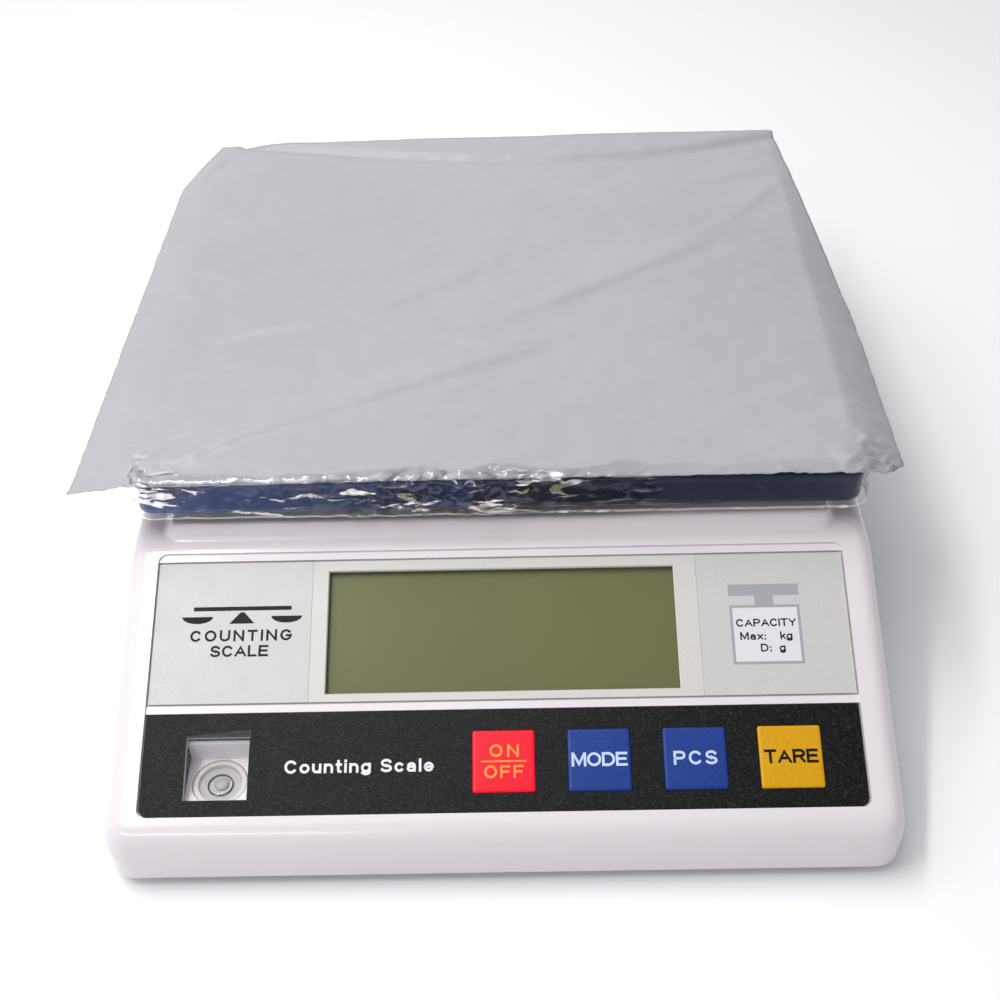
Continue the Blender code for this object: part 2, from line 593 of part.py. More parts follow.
def smooth_route(points, steps):
    """Points on a smooth curve through the given ones (Catmull-Rom)."""
    ends = [points[0] * 2 - points[1], *points, points[-1] * 2 - points[-2]]
    route = []
    for a, b, c, d in zip(ends, ends[1:], ends[2:], ends[3:]):
        for i in range(steps):
            t = i / steps
            route.append(((2 * b) + (c - a) * t + (2 * a - 5 * b + 4 * c - d) * t ** 2
                          + (3 * b - a - 3 * c + d) * t ** 3) / 2)
    return [*route, points[-1]]


def lead(name, points, radius, parent):
    curve = bpy.data.curves.new(name, "CURVE")
    curve.dimensions = "3D"
    curve.bevel_depth = radius
    curve.bevel_resolution = 2
    curve.use_fill_caps = True
    route = smooth_route([Vector(p) for p in points], 6)
    spline = curve.splines.new("POLY")
    spline.points.add(len(route) - 1)
    for point, place_at in zip(spline.points, route):
        point.co = (*place_at, 1)
    curve.materials.append(finish_of("black_plastic"))
    place(bpy.data.objects.new(name, curve), parent)


# ---- assembly ------------------------------------------------------------------------------------

def build():
    remove_all()
    scale = bpy.data.objects.new("scale", None)
    place(scale, None, (0, -WRAPPED_DEPTH / 2, 0))
    panel = bpy.data.objects.new("panel", None)
    place(panel, scale, PANEL_ORIGIN)
    panel.rotation_euler.x = SLOPE

    upper_housing(scale)
    lower_housing(scale)
    panel_sheets(panel)
    for (name, u), finish in zip(KEYS.items(), ("key_red", "key_blue", "key_blue", "key_yellow")):
        key(name, u, finish, panel)
        key_switch(name.replace("key_", "switch_"), u, panel)
    display_unit(panel)
    bubble_level(scale)
    load_cell(scale)
    weighing_works(scale)
    pan_spider(scale)
    for number, post in enumerate(POSTS, 1):
        pan_pad(f"pan_pad_{number}", post, scale)
    pan_and_wrapping(scale)
    for number, centre in enumerate(FEET, 1):
        foot(number, centre, scale)
    for number, centre in enumerate(CASE_SCREWS, 1):
        case_screw(number, centre, scale)
    power_parts(scale)
    lead("cell_lead", [(0.0168, 0.206, 0.030), (0.024, 0.190, 0.028), (0.028, 0.140, 0.024),
                       (0.030, 0.100, 0.030), (0.030, 0.0752, 0.0385)], 0.0014, scale)
    lead("battery_lead", [(-0.092, 0.1385, 0.024), (-0.088, 0.120, 0.024), (-0.070, 0.095, 0.030),
                          (-0.060, 0.0805, 0.0405)], 0.0012, scale)


build()
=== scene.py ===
"""Looks of the counting scale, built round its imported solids.

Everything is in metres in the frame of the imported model: X to the right, Y to the back, Z up from the table.
The sloping panel has its own u (along X), v (up the slope) and n (out of the panel).
"""

import math

import bmesh
import bpy
import numpy as np
from mathutils import Matrix, Vector, noise


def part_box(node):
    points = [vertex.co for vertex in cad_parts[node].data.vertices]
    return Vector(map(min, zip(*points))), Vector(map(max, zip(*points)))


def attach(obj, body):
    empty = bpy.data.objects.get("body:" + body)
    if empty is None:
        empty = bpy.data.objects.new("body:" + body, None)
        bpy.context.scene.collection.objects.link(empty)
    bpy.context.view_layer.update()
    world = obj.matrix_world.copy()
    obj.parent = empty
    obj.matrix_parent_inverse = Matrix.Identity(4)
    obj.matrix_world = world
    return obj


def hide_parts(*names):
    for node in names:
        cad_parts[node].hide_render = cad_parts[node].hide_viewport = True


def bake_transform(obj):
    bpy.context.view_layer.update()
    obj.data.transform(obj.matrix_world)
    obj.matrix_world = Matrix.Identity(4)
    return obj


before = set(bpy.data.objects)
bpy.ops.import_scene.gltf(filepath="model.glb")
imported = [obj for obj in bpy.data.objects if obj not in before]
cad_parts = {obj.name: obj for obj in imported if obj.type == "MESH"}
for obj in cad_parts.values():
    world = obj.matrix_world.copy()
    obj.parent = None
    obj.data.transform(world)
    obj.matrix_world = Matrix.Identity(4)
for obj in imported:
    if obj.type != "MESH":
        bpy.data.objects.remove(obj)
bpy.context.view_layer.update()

# ---- places, read from the frame -------------------------

HOUSING_LOW, HOUSING_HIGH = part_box("upper_housing")
FRONT, BACK = HOUSING_LOW.y, HOUSING_HIGH.y
HALF_WIDTH = HOUSING_HIGH.x
BASE_Z, PLATEAU_Z = HOUSING_LOW.z, HOUSING_HIGH.z
LEDGE_Z = PLATEAU_Z - 0.005
WALL = 0.003

SLOPE = math.radians(23)
SHEET = 0.0005
SHEET_LOW, SHEET_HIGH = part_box("key_overlay")
KEY_FIELD = (SHEET_HIGH.y - SHEET_LOW.y - SHEET * math.sin(SLOPE)) / math.cos(SLOPE)
PANEL_ORIGIN = Vector((0, SHEET_LOW.y, SHEET_HIGH.z - KEY_FIELD * math.sin(SLOPE)))
PANEL = Matrix.Translation(PANEL_ORIGIN) @ Matrix.Rotation(SLOPE, 4, "X")
RECESS = 0.0008
PANEL_HALF = 0.1165
PANEL_TOP = 0.0895
DISPLAY_FIELD = (0.0365, 0.0863)
DISPLAY_U = (-0.0578, 0.0587)
DISPLAY_V = (0.0396, 0.0823)
LEVEL_U = (-0.1022, -0.0817)
LEVEL_V = (0.0052, 0.0256)
KEY_SIZE = 0.02015
KEY_PROUD = 0.0005
KEY_V = 0.0162  # middle of the row of keys
KEY_NODES = ("key_on_off", "key_mode", "key_count", "key_tare")
KEY_CORNERS = (0.003, 0.0, 0.0, 0.003)  # radii of the key field, round from its lower right corner
THROUGH = (-0.01, 0.01)  # n range of a cut right through the panel

PLATEAU_FRONT = FRONT + 0.097
PLATEAU_BACK = PLATEAU_FRONT + 0.213
PLATEAU_HALF = 0.117
PLATEAU_CORNER = 0.007
PAN_LOW, PAN_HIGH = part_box("pan_film")
WRAP_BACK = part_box("pan_wrap")[1].y
SKIRT_HEM = PAN_LOW.z - 0.0016


def srgb(red, green, blue):
    """A linear colour from the 0 to 255 values of a screen colour."""
    def linear(value):
        value /= 255
        return value / 12.92 if value <= 0.04045 else ((value + 0.055) / 1.055) ** 2.4
    return linear(red), linear(green), linear(blue), 1.0


# ---- materials -------------------------------------------

class Surface:
    """A Principled material and short ways to add to its nodes."""

    def __init__(self, name, roughness=0.4, metallic=0.0, **sockets):
        self.material = bpy.data.materials.new(name)
        self.material.use_nodes = True
        self.tree = self.material.node_tree
        self.shader = self.tree.nodes["Principled BSDF"]
        self.output = self.tree.nodes["Material Output"]
        self.shader.inputs["Roughness"].default_value = roughness
        self.shader.inputs["Metallic"].default_value = metallic
        for socket, value in sockets.items():
            self.shader.inputs[socket.replace("_", " ")].default_value = value
        coordinates = self.tree.nodes.new("ShaderNodeTexCoord")
        self.place = coordinates.outputs["Object"]

    def node(self, kind, settings=None, **inputs):
        made = self.tree.nodes.new("ShaderNode" + kind)
        for key, value in (settings or {}).items():
            setattr(made, key, value)
        for key, value in inputs.items():
            socket = made.inputs[int(key[1:])] if key[1:].isdigit() else made.inputs[key.replace("_", " ")]
            if isinstance(value, bpy.types.NodeSocket):
                self.tree.links.new(value, socket)
            else:
                socket.default_value = value
        return made

    def stretched(self, scale):
        return self.node("Mapping", Vector=self.place, Scale=scale).outputs["Vector"]

    def noise(self, scale, detail=3.0, rough=0.5, place=None, distortion=0.0):
        made = self.node("TexNoise", Vector=place or self.place, Scale=scale, Detail=detail, Roughness=rough,
                         Distortion=distortion)
        return made.outputs["Fac"]

    def ramp(self, factor, stops):
        made = self.node("ValToRGB", Fac=factor)
        line = made.color_ramp
        for i, (position, colour) in enumerate(stops):
            stop = line.elements[i] if i < 2 else line.elements.new(position)
            stop.position = position
            stop.color = colour if len(colour) == 4 else (*colour, 1)
        return made.outputs["Color"]

    def ranged(self, value, start, end, low, high):
        """A number that goes from low to high as the value goes from start to end."""
        made = self.node("MapRange", Value=value, From_Min=start, From_Max=end, To_Min=low, To_Max=high)
        return made.outputs["Result"]

    def between(self, factor, low, high):
        """From low to high over the range where noise mostly lies."""
        return self.ranged(factor, 0.3, 0.7, low, high)

    def maths(self, operation, a, b, **more):
        return self.node("Math", {"operation": operation}, _0=a, _1=b, **more).outputs[0]

    def axis(self, name):
        return self.node("SeparateXYZ", Vector=self.place).outputs[name]

    def colour(self, socket):
        self.tree.links.new(socket, self.shader.inputs["Base Color"])

    def roughness(self, socket):
        self.tree.links.new(socket, self.shader.inputs["Roughness"])

    def finish_with(self, shader):
        """Uses this shader in place of the Principled one."""
        self.tree.links.new(shader.outputs[0], self.output.inputs["Surface"])
        self.tree.nodes.remove(self.shader)

    def bump(self, *layers):
        """Bumps from (height socket, strength, depth in metres) layers, coarse first."""
        normal = None
        for height, strength, depth in layers:
            made = self.node("Bump", Height=height, Strength=strength, Distance=depth)
            if normal:
                self.tree.links.new(normal, made.inputs["Normal"])
            normal = made.outputs["Normal"]
        self.tree.links.new(normal, self.shader.inputs["Normal"])


def shade(colour, by):
    return tuple(min(1.0, c * by) for c in colour[:3]) + (1.0,)


def moulded(name, colour, roughness=0.3, mottle=0.03, grain=900, depth=0.00004, strength=0.08, **sockets):
    """Moulded plastic: slow changes of colour and gloss, and a fine skin."""
    surface = Surface(name, roughness, **sockets)
    slow = surface.noise(18, 4)
    surface.colour(surface.ramp(slow, [(0.3, shade(colour, 1 - mottle)), (0.7, shade(colour, 1 + mottle))]))
    surface.roughness(surface.between(surface.noise(60, 5), roughness * 0.85, roughness * 1.2))
    surface.bump((surface.noise(grain, 2), strength, depth))
    return surface


def printed_sheet(name, colour, roughness, sparkle, grain=2600, strength=0.3, gloss=0.5, fleck=None):
    """Printed film with a fine pebbled face; a few of its grains catch the light."""
    surface = Surface(name, roughness, Specular_IOR_Level=gloss)
    grains = surface.node("TexVoronoi", {"feature": "F1"}, Vector=surface.place, Scale=grain)
    tint = surface.node("SeparateColor", Color=grains.outputs["Color"]).outputs["Red"]
    surface.colour(surface.ramp(tint, [(0.0, shade(colour, 1 - sparkle)), (0.75, shade(colour, 1 + sparkle)),
                                       (1.0, fleck or shade(colour, 1 + 2 * sparkle))]))
    surface.roughness(surface.between(surface.noise(120, 4), roughness * 0.9, roughness * 1.15))
    surface.bump((grains.outputs["Distance"], strength, 0.00012))
    return surface


def metal(name, colour, roughness, stretch=(1, 1, 1), scale=900, depth=0.00005):
    surface = Surface(name, roughness, 1.0)
    streaks = surface.noise(scale, 4, 0.6, surface.stretched(stretch))
    surface.colour(surface.ramp(streaks, [(0.3, shade(colour, 0.82)), (0.7, shade(colour, 1.1))]))
    surface.roughness(surface.between(streaks, roughness * 0.7, roughness * 1.4))
    surface.bump((streaks, 0.25, depth))
    return surface


def housing_finish():
    surface = moulded("white_abs_skin", srgb(228, 221, 225), 0.17, 0.01, 700, 0.00002, 0.05)
    surface.shader.inputs["Subsurface Weight"].default_value = 0.06
    surface.shader.inputs["Subsurface Radius"].default_value = (0.004, 0.003, 0.003)
    surface.shader.inputs["Subsurface Scale"].default_value = 0.5
    return surface


def display_finish():
    """Olive liquid-crystal glass: slow mottling, dust and the ghost of its layers."""
    olive = srgb(104, 106, 68)
    surface = Surface("lcd_face", 0.3, Specular_IOR_Level=0.25)
    slow = surface.noise(14, 3)
    fine = surface.noise(2200, 2)
    wash = surface.ramp(slow, [(0.3, shade(olive, 0.94)), (0.7, shade(olive, 1.05))])
    dust = surface.ramp(fine, [(0.62, (1, 1, 1)), (0.78, (1.25, 1.25, 1.2))])
    both = surface.node("Mix", {"data_type": "RGBA", "blend_type": "MULTIPLY"}, _0=1.0, _6=wash, _7=dust)
    surface.colour(both.outputs[2])
    surface.bump((surface.noise(45, 3), 0.05, 0.0002))
    return surface


def milky_finish():
    """Milky polythene: grey-blue, waxy, with thin streaks along its draw direction."""
    grey = srgb(171, 172, 176)
    surface = Surface("milky_sheet", 0.38, Specular_IOR_Level=0.45, Subsurface_Weight=0.08)
    surface.shader.inputs["Subsurface Radius"].default_value = (0.003, 0.003, 0.004)
    clouds = surface.noise(9, 5, 0.55)
    surface.colour(surface.ramp(clouds, [(0.3, shade(grey, 0.95)), (0.7, shade(grey, 1.045))]))
    surface.roughness(surface.between(surface.noise(25, 5), 0.3, 0.48))
    streaks = surface.noise(160, 3, 0.5, surface.stretched((1, 0.25, 1)))
    surface.bump((surface.noise(35, 4, 0.55), 0.22, 0.0008), (streaks, 0.12, 0.0002))
    return surface


def blue_film_finish():
    """Blue protective film: paler at the left and darker towards the right, a painted sheen and shade for
    light that falls from the left.
    """
    pale, dark = srgb(52, 88, 168), srgb(16, 30, 66)
    surface = Surface("navy_film", 0.2, Specular_IOR_Level=0.25)
    # painted sheen and shade: the film is made paler at the left and darker towards the right along X
    painted_shade_rightwards = surface.ranged(surface.axis("X"), -0.09, 0.06, 0.1, 0.85)
    mixed = surface.maths("MULTIPLY_ADD", surface.noise(45, 5, 0.6), 0.35, _2=painted_shade_rightwards)
    surface.colour(surface.ramp(mixed, [(0.2, pale), (0.85, dark)]))
    surface.roughness(surface.between(surface.noise(90, 4), 0.14, 0.32))
    surface.bump((surface.noise(120, 4, 0.6), 0.25, 0.0005))
    return surface


def clear_layers(surface, tint, shine, gloss_roughness, bump_scale, bump_depth):
    """Reflections that strengthen towards grazing views, over plastic that lets the rest through."""
    bumps = surface.node("Bump", Height=surface.noise(bump_scale, 4, 0.6), Strength=0.6, Distance=bump_depth)
    normal = bumps.outputs["Normal"]
    glossy = surface.node("BsdfGlossy", Color=(1, 1, 1, 1), Roughness=gloss_roughness, Normal=normal)
    through = surface.node("BsdfTransparent", Color=(*tint, 1))
    fresnel = surface.node("Fresnel", IOR=1.5, Normal=normal).outputs[0]
    share = surface.node("Math", {"operation": "MULTIPLY", "use_clamp": True}, _0=fresnel, _1=shine)
    return surface.node("MixShader", _0=share.outputs[0], _1=through.outputs[0], _2=glossy.outputs[0])


def clear_finish():
    surface = Surface("clear_acrylic")
    surface.finish_with(clear_layers(surface, (0.97, 0.98, 0.98), 0.25, 0.05, 60, 0.00001))
    return surface


def crinkled_film_finish():
    """Clear film, white in patches and along its hem; towards the right it shines less and loses its patches,
    a painted shade for the weaker light there.
    """
    surface = Surface("crinkled_film")
    across, painted_shade_rightwards = surface.axis("X"), (0.005, 0.06)
    # painted shade: reflection strength falls from 1.5 to 0.45 across this X range
    shine = surface.ranged(across, *painted_shade_rightwards, 1.5, 0.45)
    clear = clear_layers(surface, (0.995, 0.997, 1.0), shine, 0.06, 600, 0.0002)
    drawn_out = surface.stretched((45, 140, 210))
    patches = surface.ramp(surface.noise(1, 4, 0.6, drawn_out, 0.9), [(0.57, (0, 0, 0)), (0.60, (1, 1, 1))])
    # the white patches fade out towards the right too, part of the same painted shade
    patches = surface.maths("MULTIPLY", patches, surface.ranged(across, *painted_shade_rightwards, 1.0, 0.0))
    hem = surface.ranged(surface.axis("Z"), SKIRT_HEM + 0.0013, SKIRT_HEM + 0.0007, 0.0, 0.6)
    amount = surface.maths("MULTIPLY", surface.maths("MAXIMUM", patches, hem), 0.9)
    white = surface.node("BsdfGlossy", Color=(1, 1, 1, 1), Roughness=0.22)
    surface.finish_with(surface.node("MixShader", _0=amount, _1=clear.outputs[0], _2=white.outputs[0]))
    return surface


def make_finishes():
    made = {
        "white": housing_finish(),
        "base": moulded("base_abs", srgb(222, 217, 220), 0.45, 0.02, 1500, 0.00008, 0.25),
        "label": printed_sheet("silver_print", srgb(198, 197, 194), 0.42, 0.03, 3200, 0.10),
        "bezel": printed_sheet("bezel_print", srgb(206, 203, 199), 0.40, 0.025, 3200, 0.08),
        "black": printed_sheet("black_print", srgb(8, 8, 9), 0.30, 0.6, 3000, 0.7, 0.17, srgb(52, 52, 52)),
        "red": printed_sheet("red_print", srgb(240, 14, 44), 0.36, 0.06, 2300, 0.35, 0.3),
        "blue": printed_sheet("blue_print", srgb(18, 56, 134), 0.36, 0.12, 2300, 0.35, 0.3),
        "yellow": printed_sheet("yellow_print", srgb(212, 155, 2), 0.36, 0.05, 2300, 0.35, 0.3),
        "ink": moulded("dark_ink", srgb(14, 14, 17), 0.5, 0.1, 2600, 0.00003, 0.2, Specular_IOR_Level=0.2),
        "lcd": display_finish(),
        "milky": milky_finish(),
        "navy": blue_film_finish(),
        "clear": clear_finish(),
        "crinkle": crinkled_film_finish(),
        "vial": moulded("vial_plastic", srgb(236, 226, 224), 0.4, 0.02, 900, 0.00003, 0.05,
                        Specular_IOR_Level=0.3),
        "bubble": moulded("vial_bubble", srgb(196, 186, 184), 0.25, 0.12, 1500, 0.00003, 0.05),
        # painted light: the level's well is a lighter copy of the white plastic, to lift the shade in that
        # deep recess
        "well": moulded("well_abs_painted_light", srgb(252, 244, 250), 0.4, 0.02, 1200, 0.00004, 0.1),
        "dark": moulded("black_moulding", srgb(38, 38, 40), 0.5, 0.08, 1400, 0.00008, 0.3),
        "rubber": moulded("rubber_moulding", srgb(44, 44, 45), 0.8, 0.1, 1800, 0.0001, 0.4),
        "board": moulded("solder_mask", srgb(26, 92, 48), 0.35, 0.12, 1200, 0.00006, 0.3),
        "steel": metal("machined_steel", srgb(196, 197, 200), 0.3),
        "pan_steel": metal("brushed_steel", srgb(200, 201, 203), 0.28, (0.05, 1, 1), 1200),
        "aluminium": metal("cast_aluminium", srgb(190, 192, 195), 0.42, (1, 1, 1), 700, 0.0001),
        "brass": metal("turned_brass", srgb(205, 170, 95), 0.3),
    }
    for name, colour, mottle in (("white_ink", (232, 234, 240), 0.03),
                                 ("pale_blue_ink", (196, 212, 240), 0.03),
                                 ("orange_ink", (252, 150, 40), 0.03), ("grey_ink", (160, 160, 168), 0.03),
                                 ("pale_ink", (222, 220, 224), 0.02)):
        made[name] = moulded(name, srgb(*colour), 0.5, mottle, 2600, 0.00003, 0.2)
    return {key: surface.material for key, surface in made.items()}


def numbered(name, count):
    return [f"{name}_{i}" for i in range(1, count + 1)]


CARRIED = {  # nodes that keep their CAD shape, by finish
    "base": ["lower_housing", "battery_door"],
    "well": ["level_holder"],
    "dark": ["switch_on_off", "switch_mode", "switch_count", "switch_tare", "lcd_frame", "battery",
             "cell_lead", "battery_lead", "dc_jack"],
    "lcd": ["lcd_glass"],
    "vial": ["backlight"],
    "board": ["main_board"],
    "rubber": numbered("pan_pad", 4),
    "steel": ["cell_base_block", *numbered("cell_top_screw", 2), *numbered("cell_base_screw", 2),
              "overload_stop", *numbered("case_screw", 4)],
    "pan_steel": ["weighing_pan"],
    "aluminium": ["cell_top_block", "pan_spider"],
    "brass": [*numbered("foot_nut", 4), "jack_pin"],
}


# ---- shapes ----------------------------------------------

def new_object(name, bm, finish, sharp=35):
    """A piece from a bmesh, which is used up."""
    mesh = bpy.data.meshes.new(name)
    bmesh.ops.recalc_face_normals(bm, faces=bm.faces)
    bm.to_mesh(mesh)
    bm.free()
    mesh.shade_smooth()
    mesh.set_sharp_from_angle(angle=math.radians(sharp))
    if finish:
        mesh.materials.append(FINISH[finish])
    made = bpy.data.objects.new(name, mesh)
    bpy.context.scene.collection.objects.link(made)
    return made


def band(bm, low, high):
    """Faces between two closed rows of vertices."""
    for i in range(len(low)):
        j = (i + 1) % len(low)
        bm.faces.new((low[i], low[j], high[j], high[i]))


def net(bm, rows):
    """Faces between the neighbours in open rows of vertices."""
    for near, far in zip(rows, rows[1:]):
        for i in range(len(near) - 1):
            bm.faces.new((near[i], near[i + 1], far[i + 1], far[i]))


def net_over(bm, x, y, z):
    """A net over arrays of places; gives its rows of vertices."""
    rows = [[bm.verts.new(point) for point in zip(*row)] for row in zip(x, y, z)]
    net(bm, rows)
    return rows


def add_solid(bm, rings):
    """A closed solid through rings that all have the same number of points."""
    loops = [[bm.verts.new(point) for point in ring] for ring in rings]
    for low, high in zip(loops, loops[1:]):
        band(bm, low, high)
    bm.faces.new(loops[0][::-1])
    bm.faces.new(loops[-1])
    return bm


def loft(rings):
    return add_solid(bmesh.new(), rings)


def rounded_rectangle(x_range, y_range, radii, steps=8):
    """Corner radii go round from the lower right corner, or one radius serves all four."""
    if not hasattr(radii, "__len__"):
        radii = (radii,) * 4
    (x0, x1), (y0, y1) = x_range, y_range
    signs = ((x1, y0, -1, 1, -90), (x1, y1, -1, -1, 0), (x0, y1, 1, -1, 90), (x0, y0, 1, 1, 180))
    points = []
    for (x, y, sx, sy, start), radius in zip(signs, radii):
        if radius <= 0:
            points.append((x, y))
            continue
        for i in range(steps + 1):
            turn = math.radians(start + 90 * i / steps)
            points.append((x + sx * radius + radius * math.cos(turn),
                           y + sy * radius + radius * math.sin(turn)))
    return points


def prism(outline, z_range):
    return loft([[(x, y, z) for x, y in outline] for z in z_range])


def block(x_range, y_range, z_range):
    return prism(rounded_rectangle(x_range, y_range, 0), z_range)


def turned(profile, sides, centre=(0, 0)):
    turns = [2 * math.pi * i / sides for i in range(sides)]
    return loft([[(centre[0] + r * math.cos(t), centre[1] + r * math.sin(t), z) for t in turns]
                 for r, z in profile])


def grown(span, by):
    return span[0] - by, span[1] + by


def on_panel(bm):
    bm.transform(PANEL)
    return bm


def baked(obj):
    """The object's mesh with its modifiers applied."""
    graph = bpy.context.evaluated_depsgraph_get()
    mesh = bpy.data.meshes.new_from_object(obj.evaluated_get(graph), depsgraph=graph)
    old = obj.data
    obj.modifiers.clear()
    obj.data = mesh
    bpy.data.meshes.remove(old)
    mesh.name = obj.name
    return obj


def cut(obj, *shapes):
    """Cuts shapes that don't touch each other out of the object."""
    together = bmesh.new()
    for shape in shapes:
        bmesh.ops.recalc_face_normals(shape, faces=shape.faces)
        part = bpy.data.meshes.new("shape")
        shape.to_mesh(part)
        shape.free()
        together.from_mesh(part)
        bpy.data.meshes.remove(part)
    tool = new_object("tool", together, None)
    boolean = obj.modifiers.new("cut", "BOOLEAN")
    boolean.operation = "DIFFERENCE"
    boolean.solver = "EXACT"
    boolean.object = tool
    baked(obj)
    bpy.data.objects.remove(tool, do_unlink=True)


def soften(obj, width):
    """A fine rounded edge all over the piece."""
    bevel = obj.modifiers.new("edges", "BEVEL")
    bevel.width = width
    bevel.segments = 2
    bevel.limit_method = "ANGLE"
    bevel.angle_limit = math.radians(40)
    bevel.harden_normals = True


def thicken(obj, thickness, offset):
    skin = obj.modifiers.new("thickness", "SOLIDIFY")
    skin.thickness = thickness
    skin.offset = offset


def repaint(obj, finish, sharp=None):
    """Leaves only this finish on the object, and may shade it anew."""
    obj.data.materials.clear()
    obj.data.materials.append(FINISH[finish])
    if sharp:
        obj.data.shade_smooth()
        obj.data.set_sharp_from_angle(angle=math.radians(sharp))


def fit(piece, body, node=None):
    """Fixes the piece to its body; it may stand in for a CAD node, which it then hides."""
    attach(piece, body)
    if node:
        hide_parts(node)


def middle_of(node):
    low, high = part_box(node)
    return (low + high) / 2


# ---- housing ---------------------------------------------

CORNER = 0.009
SIDE_ROUND = 0.0065
FRONT_ROUND = 0.0075


def smooth_min(a, b, width):
    share = np.clip(0.5 + 0.5 * (b - a) / width, 0, 1)
    return b * (1 - share) + a * share - width * share * (1 - share)


def inside_distance(x, y, x_half, y_range, radius):
    """How far points lie inside a rounded rectangle that is centred on X."""
    middle, half = sum(y_range) / 2, (y_range[1] - y_range[0]) / 2
    dx = np.abs(x) - (x_half - radius)
    dy = np.abs(y - middle) - (half - radius)
    outside = np.hypot(np.maximum(dx, 0), np.maximum(dy, 0)) + np.minimum(np.maximum(dx, dy), 0)
    return radius - outside


def housing_top(x, y):
    """Height of the housing before its outer edges are rounded: slope, ledge and plateau with soft bends."""
    slope_at_front = PANEL_ORIGIN.z - (PANEL_ORIGIN.y - FRONT) * math.tan(SLOPE) + RECESS / math.cos(SLOPE)
    slope = slope_at_front + (y - FRONT) * math.tan(SLOPE)
    ground = smooth_min(slope, np.full_like(slope, LEDGE_Z), 0.0010)
    depth = inside_distance(x, y, PLATEAU_HALF, (PLATEAU_FRONT, PLATEAU_BACK), PLATEAU_CORNER)
    rise = np.clip(depth / 0.0045, 0, 1)
    return ground + (PLATEAU_Z - LEDGE_Z) * rise * rise * (3 - 2 * rise)


def edge_stops(reach, steps):
    """Distances from an edge, close together where the edge turns."""
    return [reach * (1 - math.cos(math.pi / 2 * i / steps)) for i in range(steps)]


def grid_lines(low, high, low_dense, high_dense, low_reach, high_reach, coarse):
    """Positions across the housing: fine near both edges and in the dense ranges, coarse between."""
    stops = {round(low + s, 7) for s in edge_stops(low_reach, 10)}
    stops |= {round(high - s, 7) for s in edge_stops(high_reach, 10)}
    for a, b in (low_dense, high_dense):
        stops |= {round(float(v), 7) for v in np.linspace(a, b, int((b - a) / 0.0005) + 1)}
    spans = ((low + low_reach, low_dense[0]), (low_dense[1], high_dense[0]),
             (high_dense[1], high - high_reach))
    for a, b in spans:
        count = max(1, int((b - a) / coarse))
        stops |= {round(float(v), 7) for v in np.linspace(a, b, count + 1)}
    ordered = sorted(stops)
    kept = [ordered[0]]
    for value in ordered[1:]:
        if value - kept[-1] > 0.00008 or value == ordered[-1]:
            kept.append(value)
    return np.array(kept)


def round_the_corners(x, y):
    """Moves the grid's square corners onto the housing's round ones.

    Gives x, y, the distance from the edge, and a share that is 1 along the front and 0 on the other sides.
    """
    dx = HALF_WIDTH - np.abs(x)
    dy_front, dy_back = y - FRONT, BACK - y
    dy = np.minimum(dy_front, dy_back)
    p, q = 1 - dx / CORNER, 1 - dy / CORNER
    corner = (p > 0) & (q > 0)
    p, q = np.clip(p, 1e-9, 1), np.clip(q, 1e-9, 1)
    reach = np.maximum(p, q)
    turn = np.where(q < p, np.pi / 4 * q / p, np.pi / 2 - np.pi / 4 * p / q)
    new_x = np.sign(x) * (HALF_WIDTH - CORNER + CORNER * reach * np.cos(turn))
    across = CORNER * reach * np.sin(turn)
    new_y = np.where(dy_front < dy_back, FRONT + CORNER - across, BACK - CORNER + across)
    away = np.where(corner, CORNER * (1 - reach), np.minimum(dx, dy))
    frontness = np.where(corner, turn / (np.pi / 2), np.where(dy < dx, 1.0, 0.0)) * (dy_front < dy_back)
    return np.where(corner, new_x, x), np.where(corner, new_y, y), away, frontness


def housing_body():
    side = (-HALF_WIDTH + 0.0095, -HALF_WIDTH + 0.016)
    xs = grid_lines(-HALF_WIDTH, HALF_WIDTH, side, (-side[1], -side[0]), SIDE_ROUND, SIDE_ROUND, 0.004)
    ys = grid_lines(FRONT, BACK, (FRONT + 0.090, FRONT + 0.103), (PLATEAU_BACK - 0.006, PLATEAU_BACK + 0.001),
                    FRONT_ROUND, SIDE_ROUND, 0.004)
    x, y = np.meshgrid(xs, ys)
    x, y, away, frontness = round_the_corners(x, y)
    radius = SIDE_ROUND + (FRONT_ROUND - SIDE_ROUND) * frontness
    left = np.clip(radius - away, 0, radius)
    z = housing_top(x, y) - (radius - np.sqrt(radius ** 2 - left ** 2))
    bm = bmesh.new()
    top = net_over(bm, x, y, z)
    rim = top[0] + [row[-1] for row in top[1:]] + top[-1][-2::-1] + [row[0] for row in top[-2:0:-1]]
    foot_round = 0.0008
    levels = [(0.06, 0.0), (0.5, 0.0), (1.0, 0.0), (1.0, foot_round)]
    above = rim
    for share, pull in levels:
        ring = []
        for vert in rim:
            bottom = BASE_Z + (foot_round if pull == 0 else 0)
            height = vert.co.z + (bottom - vert.co.z) * share
            inwards = Vector((-vert.co.x * 0.8, -(vert.co.y - (FRONT + BACK) / 2), 0)).normalized() * pull
            ring.append(bm.verts.new((vert.co.x + inwards.x, vert.co.y + inwards.y, height)))
        band(bm, ring, above)
        above = ring
    bm.faces.new(above)
    return new_object("housing_shell", bm, "white", sharp=50)


def housing_hollow():
    """The space inside the walls, open at the bottom."""
    width, depth = (-HALF_WIDTH + WALL, HALF_WIDTH - WALL), (FRONT + WALL, BACK - WALL)
    outline = rounded_rectangle(width, depth, CORNER - WALL, 6)
    bm = prism(outline, (BASE_Z - 0.01, LEDGE_Z - WALL))
    point = PANEL @ Vector((0, 0, RECESS - WALL))
    normal = PANEL.to_3x3() @ Vector((0, 0, 1))
    geometry = bm.verts[:] + bm.edges[:] + bm.faces[:]
    sliced = bmesh.ops.bisect_plane(bm, geom=geometry, plane_co=point, plane_no=normal, clear_outer=True)
    edges = [g for g in sliced["geom_cut"] if isinstance(g, bmesh.types.BMEdge)]
    bmesh.ops.edgeloop_fill(bm, edges=edges)
    return bm


